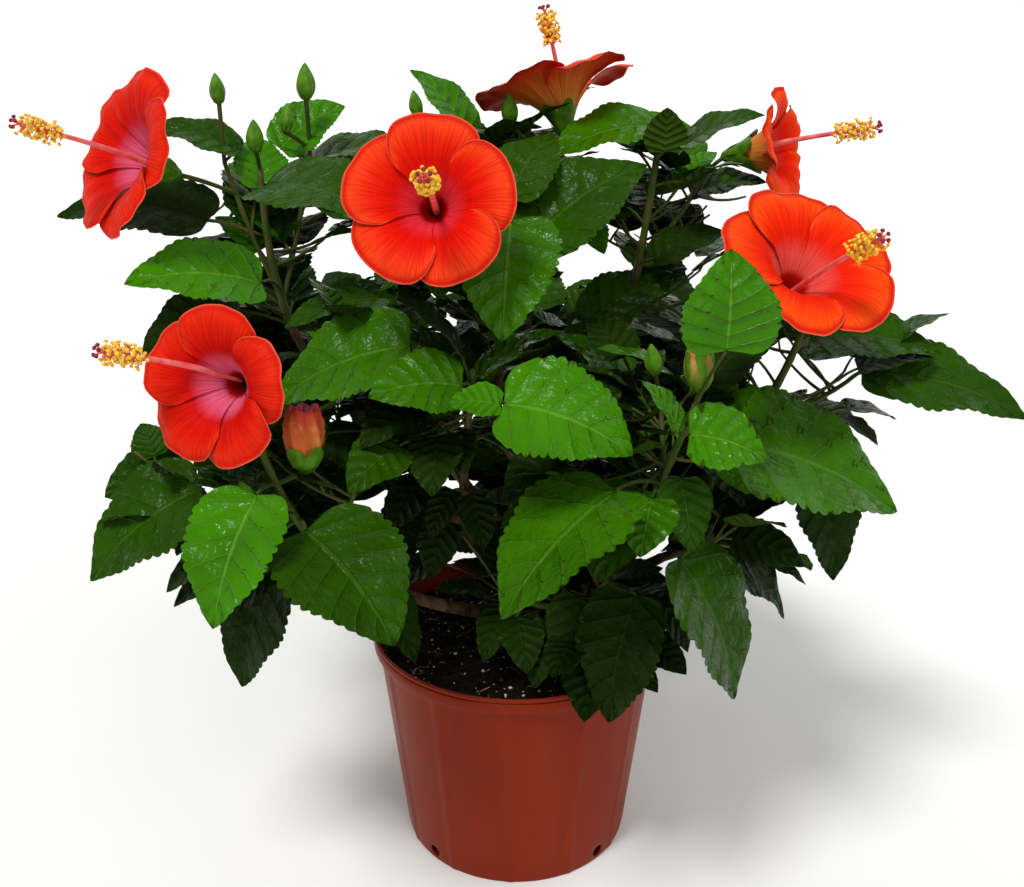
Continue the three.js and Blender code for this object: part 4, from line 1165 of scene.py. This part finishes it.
# The pot's outline as radius, height and share of the panels' dip: its foot, then from the
# wall's top over the rim band and down the inside. Between the two the wall runs straight.
POT_FOOT = [
    (0, 0, 0), (60, 0, 0), (89.7, 0, 0), (91.1, 0.3, 0.3), (92.1, 1.2, 0.8), (92.5, 2.4, 1),
]
POT_RIM = [
    (111.4, 169.4, 0.9), (110.7, 170, 0.5), (110.6, 171, 0.3), (113.6, 171.2, 0), (114.2, 171.5, 0),
    (114.4, 172.1, 0), (114.5, 176, 0), (114.5, 178.9, 0), (114.3, 179.3, 0), (112.9, 179.6, 0),
    (112.9, 180.5, 0), (114.6, 180.9, 0), (RIM_RADIUS, 181.5, 0), (RIM_RADIUS, 183.4, 0),
    (114.5, 183.9, 0), (113.8, POT_HEIGHT, 0), (113, 183.8, 0), (112.6, 183.2, 0), (111.6, 179, 0),
    (108.4, 171.6, 0), (107.6, 166, 0), (99, 80, 0), (90.4, 3.2, 0), (87, 3, 0), (40, 3, 0),
    (0, 3, 0),
]
WALL_STEPS = 23
WALL_HEIGHTS = 2.4, 168.6
WALL_RADII = 92.5, 111.5  # at the height 0 and just under the rim band
UNDER_BAND = 171.5


def pot_piece(look):
    """The nursery pot: panelled wall, rim band with its groove, and drain holes."""
    (low, high), (narrow, wide) = WALL_HEIGHTS, WALL_RADII
    heights = [low + (high - low) * step / WALL_STEPS for step in range(1, WALL_STEPS + 1)]
    wall = [(narrow + (wide - narrow) * height / UNDER_BAND, height, 1) for height in heights]
    radius, height, dip = np.array(POT_FOOT + wall + POT_RIM, float).T[:, :, None]
    turn = np.arange(POT_SIDES)[None] * 360 / POT_SIDES
    panel = (turn * PANELS / 360) % 1
    ridge = np.minimum(panel, 1 - panel)
    out = np.maximum(radius - PANEL_DIP * dip * smooth(ridge, 0, 0.1), 0.02)
    angle = np.radians(turn + PANEL_TURN)
    points = np.stack([out * np.cos(angle), out * np.sin(angle), height + 0 * out], axis=-1)
    patches = Patches()
    patches.grid(points)
    piece = patches.piece("pot_shell", [look], "pot")
    cut_holes(piece)
    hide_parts("pot")


def cut_holes(pot):
    """Cut the drain holes low in the wall and drop the cutters."""
    patches = Patches()
    for k in range(HOLES):
        way = way_of(45 + k * 360 / HOLES, 0)
        path = np.array([0, 0, HOLE_HEIGHT]) + np.outer(HOLE_CUT, way)
        patches.grid(capped(tube_grid(path, [HOLE_RADIUS] * len(path), 24)))
    cutter = patches.piece("cutter", [], "pot")
    weld(pot)
    weld(cutter)
    change(pot, "BOOLEAN", operation="DIFFERENCE", solver="EXACT", object=cutter)
    bpy.data.objects.remove(cutter)


def weld(piece):
    """Join the points of a piece that lie on each other."""
    change(piece, "WELD", merge_threshold=WELD_GAP)


def change(piece, kind, **settings):
    """Apply a modifier of this kind to a piece."""
    modifier = piece.modifiers.new(kind, kind)
    for key, value in settings.items():
        setattr(modifier, key, value)
    with bpy.context.temp_override(object=piece, active_object=piece):
        bpy.ops.object.modifier_apply(modifier=modifier.name)


SOIL_GRID = 120, 220  # rings and sides
SOIL_RADIUS = 107.2
SOIL_UNDER = 120  # height of the soil's under side
LUMPS_WITHIN = 105
LUMPS = (420, 4.2, 3.4), (160, 9, 2.2)  # count, spread, height
BITS = 360
STRAW_EVERY = 4


def lumps(x, y, chance, count, spread, height):
    """Heights of rounded lumps strewn at random over a disc."""
    total = np.zeros_like(x)
    for _ in range(count):
        turn, far = 2 * math.pi * next(chance), LUMPS_WITHIN * math.sqrt(next(chance))
        size = spread * (0.5 + next(chance))
        gap = (x - far * math.cos(turn)) ** 2 + (y - far * math.sin(turn)) ** 2
        total = np.maximum(total, height * (0.4 + next(chance)) * np.exp(-gap / size ** 2))
    return total


def soil_pieces(soil_look, bit_looks):
    """The potting mix with its lumps, and white grains and straw strewn over it."""
    chance = seeded_chance(9)
    rings, sides = SOIL_GRID
    radius, angle = np.linspace(0.2, SOIL_RADIUS, rings)[:, None], turns(sides)[None]
    x, y = radius * np.cos(angle), radius * np.sin(angle)
    z = SOIL_TOP - 2.2 + sum(lumps(x, y, chance, *row) for row in LUMPS)
    z = z - 1.5 * smooth(radius, 98, 107)
    patches = Patches()
    patches.grid(np.stack([x, y, z], axis=-1))
    under = np.stack([x, y, np.full_like(z, SOIL_UNDER)], axis=-1)[::30]
    patches.grid(under[:, ::-1])
    soil = patches.piece("potting_mix", [soil_look], "soil")
    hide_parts("soil")

    bits = Patches()
    for k in range(BITS):
        ring = int((rings - 2) * math.sqrt(next(chance)))
        place = int(sides * next(chance))
        centre = np.array([x[ring, place], y[ring, place], z[ring, place] + 0.3])
        way = way_of(360 * next(chance), 30 * (next(chance) - 0.5))
        if k % STRAW_EVERY == 0:
            length = 3 + 9 * next(chance)
            ends = centre + np.outer([-0.5, 0, 0.5], way) * length
            strip = capped(tube_grid(ends, [0.3, 0.7, 0.3], 4))
            bits.grid(strip, 1 + k % 3)
        else:
            size = 0.5 + 1.3 * next(chance) ** 3
            bits.grid(round_grid(centre, (size, size * 0.8), way, 4, 5))
    bits.piece("soil_bits", bit_looks, "soil")


# ---- looks


class Look:
    """A material of nodes, with short names for those used here."""

    def __init__(self, name, roughness, specular=0.5):
        self.material = bpy.data.materials.new(name)
        self.material.use_nodes = True
        self.tree = self.material.node_tree
        self.shader = self.tree.nodes["Principled BSDF"]
        self.shader.inputs["Roughness"].default_value = roughness
        self.shader.inputs["Specular IOR Level"].default_value = specular

    def node(self, kind, inputs=(), output=0, **settings):
        """Add a node and give its output; an input is a value or another node's output."""
        node = self.tree.nodes.new(kind)
        for key, value in settings.items():
            setattr(node, key, value)
        for key, value in dict(inputs).items():
            if isinstance(value, bpy.types.NodeSocket):
                self.tree.links.new(value, node.inputs[key])
            else:
                node.inputs[key].default_value = value
        return node.outputs[output]

    def value(self, name):
        return self.node("ShaderNodeAttribute", output="Fac", attribute_name=name)

    def place(self, stretch=(1, 1, 1)):
        where = self.node("ShaderNodeTexCoord", output="Object")
        return self.node("ShaderNodeMapping", {"Vector": where, "Scale": stretch})

    def noise(self, scale, detail=3.0, vector=None, stretch=(1, 1, 1)):
        vector = vector or self.place(stretch)
        return self.node("ShaderNodeTexNoise", {"Vector": vector, "Scale": scale, "Detail": detail})

    def maths(self, operation, a, b=0.0):
        return self.node("ShaderNodeMath", {0: a, 1: b}, operation=operation)

    def plus(self, a, b):
        return self.maths("ADD", a, b)

    def minus(self, a, b):
        return self.maths("SUBTRACT", a, b)

    def times(self, a, b):
        return self.maths("MULTIPLY", a, b)

    def size(self, a):
        return self.maths("ABSOLUTE", a)

    def step(self, value, low, high, start=0.0, end=1.0):
        """From start at low to end at high, smoothly."""
        inputs = {"Value": value, "From Min": low, "From Max": high, "To Min": start, "To Max": end}
        return self.node("ShaderNodeMapRange", inputs, interpolation_type="SMOOTHSTEP")

    def mix(self, share, a, b, blend="MIX"):
        inputs = {0: share, 6: a, 7: b}
        return self.node("ShaderNodeMix", inputs, 2, data_type="RGBA", blend_type=blend)

    def ramp(self, value, stops):
        node = self.tree.nodes.new("ShaderNodeValToRGB")
        self.tree.links.new(value, node.inputs[0])
        elements = node.color_ramp.elements
        for k, (place, colour) in enumerate(stops):
            element = elements[k] if k < 2 else elements.new(place)
            element.position = place
            element.color = srgb(colour)
        return node.outputs[0]

    def bump(self, height, strength, distance):
        inputs = {"Height": height, "Strength": strength, "Distance": distance}
        self.tree.links.new(self.node("ShaderNodeBump", inputs), self.shader.inputs["Normal"])

    def colour(self, value):
        self.tree.links.new(value, self.shader.inputs["Base Color"])

    def roughness(self, value):
        self.tree.links.new(value, self.shader.inputs["Roughness"])


def srgb(colour):
    """A display colour (0 to 255 each) as the linear colour that nodes take."""
    parts = [c / 255 for c in colour]
    linear = [c / 12.92 if c <= 0.04045 else ((c + 0.055) / 1.055) ** 2.4 for c in parts]
    return (*linear, 1.0)


def scaled(colour, factor):
    return tuple(min(255, c * factor) for c in colour)


def leaf_look(name, colour, rib, roughness, specular):
    """A glossy leaf: veins paler and sunk, the skin between them mottled and puckered."""
    look = Look(name, roughness, specular)
    along, across = look.value("along"), look.value("across")
    edge = look.size(across)
    phase = look.minus(along, look.times(edge, VEIN_SLANT))
    wave = look.maths("SINE", look.times(phase, math.pi * LATERAL_VEINS))
    lateral = look.step(look.size(wave), 0.03, 0.2, 1, 0)
    middle = look.step(edge, 0.02, 0.055, 1, 0)
    lateral = look.times(lateral, look.step(edge, 0.8, 1, 0.75, 0))
    veins = look.maths("MAXIMUM", middle, lateral)
    base = look.mix(look.noise(26, 4), srgb(scaled(colour, 0.74)), srgb(scaled(colour, 1.22)))
    look.colour(look.mix(look.times(veins, 0.32), base, srgb(rib)))
    pucker = look.plus(look.noise(250, 1), look.noise(110, 0))
    bulge = look.minus(look.size(wave), look.times(veins, 0.6))
    look.bump(look.plus(pucker, bulge), 0.8, 0.0016)
    look.roughness(look.step(look.noise(60, 2), 0.3, 0.7, roughness - 0.07, roughness + 0.1))
    return look.material


def leaf_looks():
    """The four tints of the upper side, partly lit and shaded copies of one green besides the
    leaves' own range, and the look of the under side.
    """
    tops = [
        # Bright is the green with painted light, deep the green in painted shade; fresh and middle
        # lie between.
        ("leaf_bright_lit", (56, 118, 0), (116, 168, 44), 0.24, 0.12),
        ("leaf_fresh", (50, 100, 0), (94, 140, 40), 0.24, 0.12),
        ("leaf_middle", (36, 72, 1), (68, 106, 30), 0.27, 0.08),
        ("leaf_deep_shaded", (27, 48, 6), (46, 70, 24), 0.42, 0.04),
    ]
    looks = [leaf_look(*top) for top in tops]
    looks.append(leaf_look("leaf_under", (48, 72, 14), (74, 98, 36), 0.6, 0.02))
    return looks


def petal_look(name, stops, streak, halo=None):
    """Silken petal: colour from throat to margin, broken by fine radial streaks."""
    look = Look(name, 0.5, 0.04)
    out, turn = look.value("out"), look.value("turn")
    rays = look.node("ShaderNodeCombineXYZ", {0: look.times(turn, 9), 1: out})
    streaks = look.noise(1.6, 4, rays)
    fine_rays = look.node("ShaderNodeCombineXYZ", {0: look.times(turn, 30), 1: out})
    fine = look.noise(1.2, 2, fine_rays)
    shift = look.times(look.minus(streaks, 0.5), 0.34)
    from_middle = look.size(look.minus(out, 0.5))
    shift = look.times(shift, look.step(from_middle, 0.3, 0.46, 1, 0))
    colour = look.ramp(look.plus(out, shift), stops)
    if halo:
        near = look.times(look.step(out, 0.14, 0.2), look.step(out, 0.26, 0.46, 1, 0))
        rayed = look.times(near, look.step(fine, 0.42, 0.6, 0.25, 0.95))
        colour = look.mix(rayed, colour, srgb(halo))
    veins = look.times(look.step(fine, 0.5, 0.62), look.step(out, 0.12, 0.35, 0, 0.55))
    veins = look.times(veins, look.step(out, 0.9, 0.97, 1, 0.2))
    look.colour(look.mix(veins, colour, srgb(streak)))
    look.bump(look.plus(fine, streaks), 0.5, 0.0012)
    return look.material


def petal_looks():
    """Scarlet, crimson and orange faces, then the backs."""
    rim = (0.965, (204, 22, 12)), (0.985, (218, 56, 32)), (1, (230, 110, 74))
    return [
        petal_look("petal_scarlet", [
            (0, (90, 2, 2)), (0.13, (140, 2, 2)), (0.24, (218, 24, 26)), (0.4, (222, 14, 4)),
            (0.62, (232, 28, 6)), (0.9, (242, 66, 24)), *rim,
        ], (196, 12, 4), (236, 66, 84)),
        petal_look("petal_crimson", [
            (0, (90, 2, 4)), (0.13, (140, 3, 8)), (0.24, (212, 26, 50)), (0.4, (200, 12, 8)),
            (0.62, (210, 20, 4)), (0.9, (224, 42, 14)), *rim,
        ], (168, 6, 2), (238, 128, 168)),
        petal_look("petal_orange", [
            (0, (104, 4, 2)), (0.13, (160, 8, 4)), (0.24, (226, 42, 18)), (0.4, (230, 26, 2)),
            (0.62, (240, 42, 2)), (0.9, (246, 78, 14)), *rim,
        ], (212, 22, 4), (242, 112, 100)),
        petal_look("petal_back", [
            (0, (214, 206, 92)), (0.16, (240, 170, 70)), (0.4, (248, 128, 50)),
            (0.7, (240, 76, 32)), (0.9, (222, 44, 22)), *rim,
        ], (206, 44, 24)),
    ]


def grained_look(name, colour, other, scale, roughness, bump=0.4, distance=0.0005, specular=0.5):
    """Two colours mixed by noise, with the same noise in relief."""
    look = Look(name, roughness, specular)
    grain = look.noise(scale, 5)
    look.colour(look.mix(look.step(grain, 0.3, 0.7), srgb(colour), srgb(other)))
    look.bump(grain, bump, distance)
    return look.material


def bark_look():
    look = Look("bark", 0.85, 0.1)
    grain = look.noise(90, 6, stretch=(1, 1, 0.35))
    fissures = look.noise(240, 3, stretch=(1, 1, 0.25))
    colour = look.mix(look.step(grain, 0.3, 0.7), srgb((52, 38, 24)), srgb((98, 80, 56)))
    colour = look.mix(look.step(fissures, 0.58, 0.72, 0, 0.7), colour, srgb((38, 28, 20)))
    look.colour(colour)
    look.bump(look.plus(grain, fissures), 0.8, 0.0015)
    return look.material


def pot_look():
    """Satin moulded plastic: brown red, faintly streaked."""
    look = Look("terracotta_plastic", 0.42, 0.08)
    cloud = look.noise(14, 4)
    flow = look.noise(60, 3, stretch=(1, 1, 0.08))
    base = look.mix(cloud, srgb((122, 34, 8)), srgb((136, 42, 12)))
    look.colour(look.mix(look.step(flow, 0.45, 0.8, 0, 0.35), base, srgb((104, 28, 8))))
    grain = look.noise(900, 2)
    look.bump(look.plus(grain, flow), 0.12, 0.0004)
    look.roughness(look.step(cloud, 0.3, 0.7, 0.32, 0.44))
    return look.material


def bud_looks():
    return [
        grained_look("calyx_green", (52, 104, 6), (92, 142, 24), 150, 0.45, specular=0.15),
        grained_look("bract_green", (56, 104, 10), (94, 136, 34), 200, 0.5, specular=0.15),
        ramped_look("bud_rosy", [(0, (70, 110, 24)), (0.45, (128, 128, 44)), (0.7, (206, 120, 76)),
                                 (1, (214, 74, 62))]),
        ramped_look("petal_wilted", [(0, (206, 150, 44)), (0.5, (208, 108, 48)),
                                     (0.8, (190, 70, 40)), (1, (140, 24, 30))]),
        # Dark red inside the spent bloom's mouth: its own red darkened as painted shade.
        grained_look("petal_hollow_painted_shade", (110, 10, 30), (60, 6, 20), 200, 0.7),
    ]


def ramped_look(name, stops):
    """Colour from foot to tip, wrinkled."""
    look = Look(name, 0.55, 0.15)
    grain = look.noise(160, 5, stretch=(1, 1, 0.4))
    place = look.plus(look.value("out"), look.times(grain, 0.12))
    colour = look.ramp(place, stops)
    look.colour(look.mix(look.step(grain, 0.5, 0.75, 0, 0.5), colour, srgb((236, 186, 96))))
    look.bump(grain, 0.6, 0.001)
    return look.material


def column_looks():
    return [
        grained_look("column_rose", (226, 74, 84), (240, 130, 120), 120, 0.45),
        grained_look("anther_gold", (246, 178, 20), (255, 216, 70), 500, 0.8, 0.8, 0.0004),
        grained_look("stigma_maroon", (112, 14, 26), (160, 30, 44), 500, 0.75, 0.8, 0.0004),
        grained_look("filament", (244, 150, 90), (246, 110, 80), 200, 0.5),
    ]


def bit_looks():
    return [
        grained_look("perlite", (226, 222, 212), (186, 178, 166), 500, 0.9),
        grained_look("straw", (166, 132, 82), (120, 90, 54), 300, 0.85),
        grained_look("fibre", (104, 74, 46), (70, 50, 32), 300, 0.9),
        grained_look("chip", (60, 44, 32), (96, 70, 48), 300, 0.9),
    ]


# ---- floor, light and camera

# Metres.
FLOOR_FRONT = -4
FLOOR_HALF_WIDTH = 9
SWEEP_START = 2.5
SWEEP_RADIUS = 2
BACKDROP_TOP = 6
SKY = 0.32
SUNS = ("key", 240, 60, 16, 2.1), ("fill", 300, 40, 50, 0.8)
LENS = 38.67
SENSOR = 36
CAMERA_AT = (-0.0034, -0.781, 0.629)
CAMERA_TILT = 69.4


def plain_look(name, colour, roughness):
    look = Look(name, roughness, 0.2)
    look.colour(look.mix(look.noise(3, 2), srgb(colour), srgb(scaled(colour, 0.99))))
    return look.material


def add_floor():
    """A pale floor that sweeps up into a wall far behind."""
    turn = np.linspace(0, math.pi / 2, 24)
    away, up = SWEEP_RADIUS * np.sin(turn), SWEEP_RADIUS - SWEEP_RADIUS * np.cos(turn)
    backdrop = SWEEP_START + SWEEP_RADIUS
    sweep = [(FLOOR_FRONT, 0), *zip(SWEEP_START + away, up), (backdrop, BACKDROP_TOP)]
    points = [(x, y, z) for y, z in sweep for x in (-FLOOR_HALF_WIDTH, FLOOR_HALF_WIDTH)]
    faces = [(k, k + 1, k + 3, k + 2) for k in range(0, len(points) - 2, 2)]
    mesh = bpy.data.meshes.new("floor")
    mesh.from_pydata(points, [], faces, False)
    mesh.materials.append(plain_look("floor_paint", (244, 244, 242), 0.9))
    floor = put("floor", mesh)
    floor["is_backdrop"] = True


def add_sun(name, heading, rise, spread, strength):
    """Even light from far off on this side, as wide in degrees as its spread."""
    lamp = bpy.data.lights.new(name, "SUN")
    lamp.angle = math.radians(spread)
    lamp.energy = strength
    put(name, lamp).rotation_euler = (math.radians(90 - rise), 0, math.radians(heading + 90))


def add_lights():
    world = bpy.data.worlds.new("sky")
    world.use_nodes = True
    background = world.node_tree.nodes["Background"]
    background.inputs["Color"].default_value = (1, 1, 1, 1)
    background.inputs["Strength"].default_value = SKY
    bpy.context.scene.world = world
    for sun in SUNS:
        add_sun(*sun)


def add_camera():
    lens = bpy.data.cameras.new("camera")
    lens.lens = LENS
    lens.sensor_width = SENSOR
    camera = put("camera", lens)
    camera.location = CAMERA_AT
    camera.rotation_euler = (math.radians(CAMERA_TILT), 0, 0)
    bpy.context.scene.camera = camera


# ---- the whole


def dress():
    """Every piece of the shrub and its pot."""
    limbs = {"trunk": trunk_line()}
    for row in BOUGHS:
        limbs[row[0]] = bough_line(row, limbs)
    grown, taken = grow_all(limbs)
    grow_finer(grown, taken)

    leaf_pieces(grown, leaf_looks())
    stem_piece(grown, [
        grained_look("stem_woody", (58, 46, 28), (88, 74, 46), 160, 0.7, specular=0.1),
        grained_look("stem_green", (48, 78, 18), (84, 80, 36), 90, 0.5, specular=0.15),
    ])
    bark_piece(limbs, [bark_look()])
    blossom_piece(grown, petal_looks())
    column_piece(grown, column_looks())
    bud_piece(grown, bud_looks())
    pot_piece(pot_look())
    soil_look = grained_look("potting_mix", (6, 4, 3), (28, 20, 15), 260, 0.95, 1.0, 0.002,
                             specular=0.1)
    soil_pieces(soil_look, bit_looks())


def plain(box):
    return [list(corner) for corner in box]


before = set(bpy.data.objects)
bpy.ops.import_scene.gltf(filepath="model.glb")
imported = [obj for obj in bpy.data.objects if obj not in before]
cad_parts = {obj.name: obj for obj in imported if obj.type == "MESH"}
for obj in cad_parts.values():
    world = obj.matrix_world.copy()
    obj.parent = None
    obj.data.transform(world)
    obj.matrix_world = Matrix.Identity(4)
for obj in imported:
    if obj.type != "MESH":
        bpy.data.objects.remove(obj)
cad_box = plain(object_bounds())
dress()
add_floor()
add_lights()
add_camera()
bpy.context.scene.view_settings.view_transform = "Standard"
{"cad": cad_box, "visual": plain(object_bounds())}
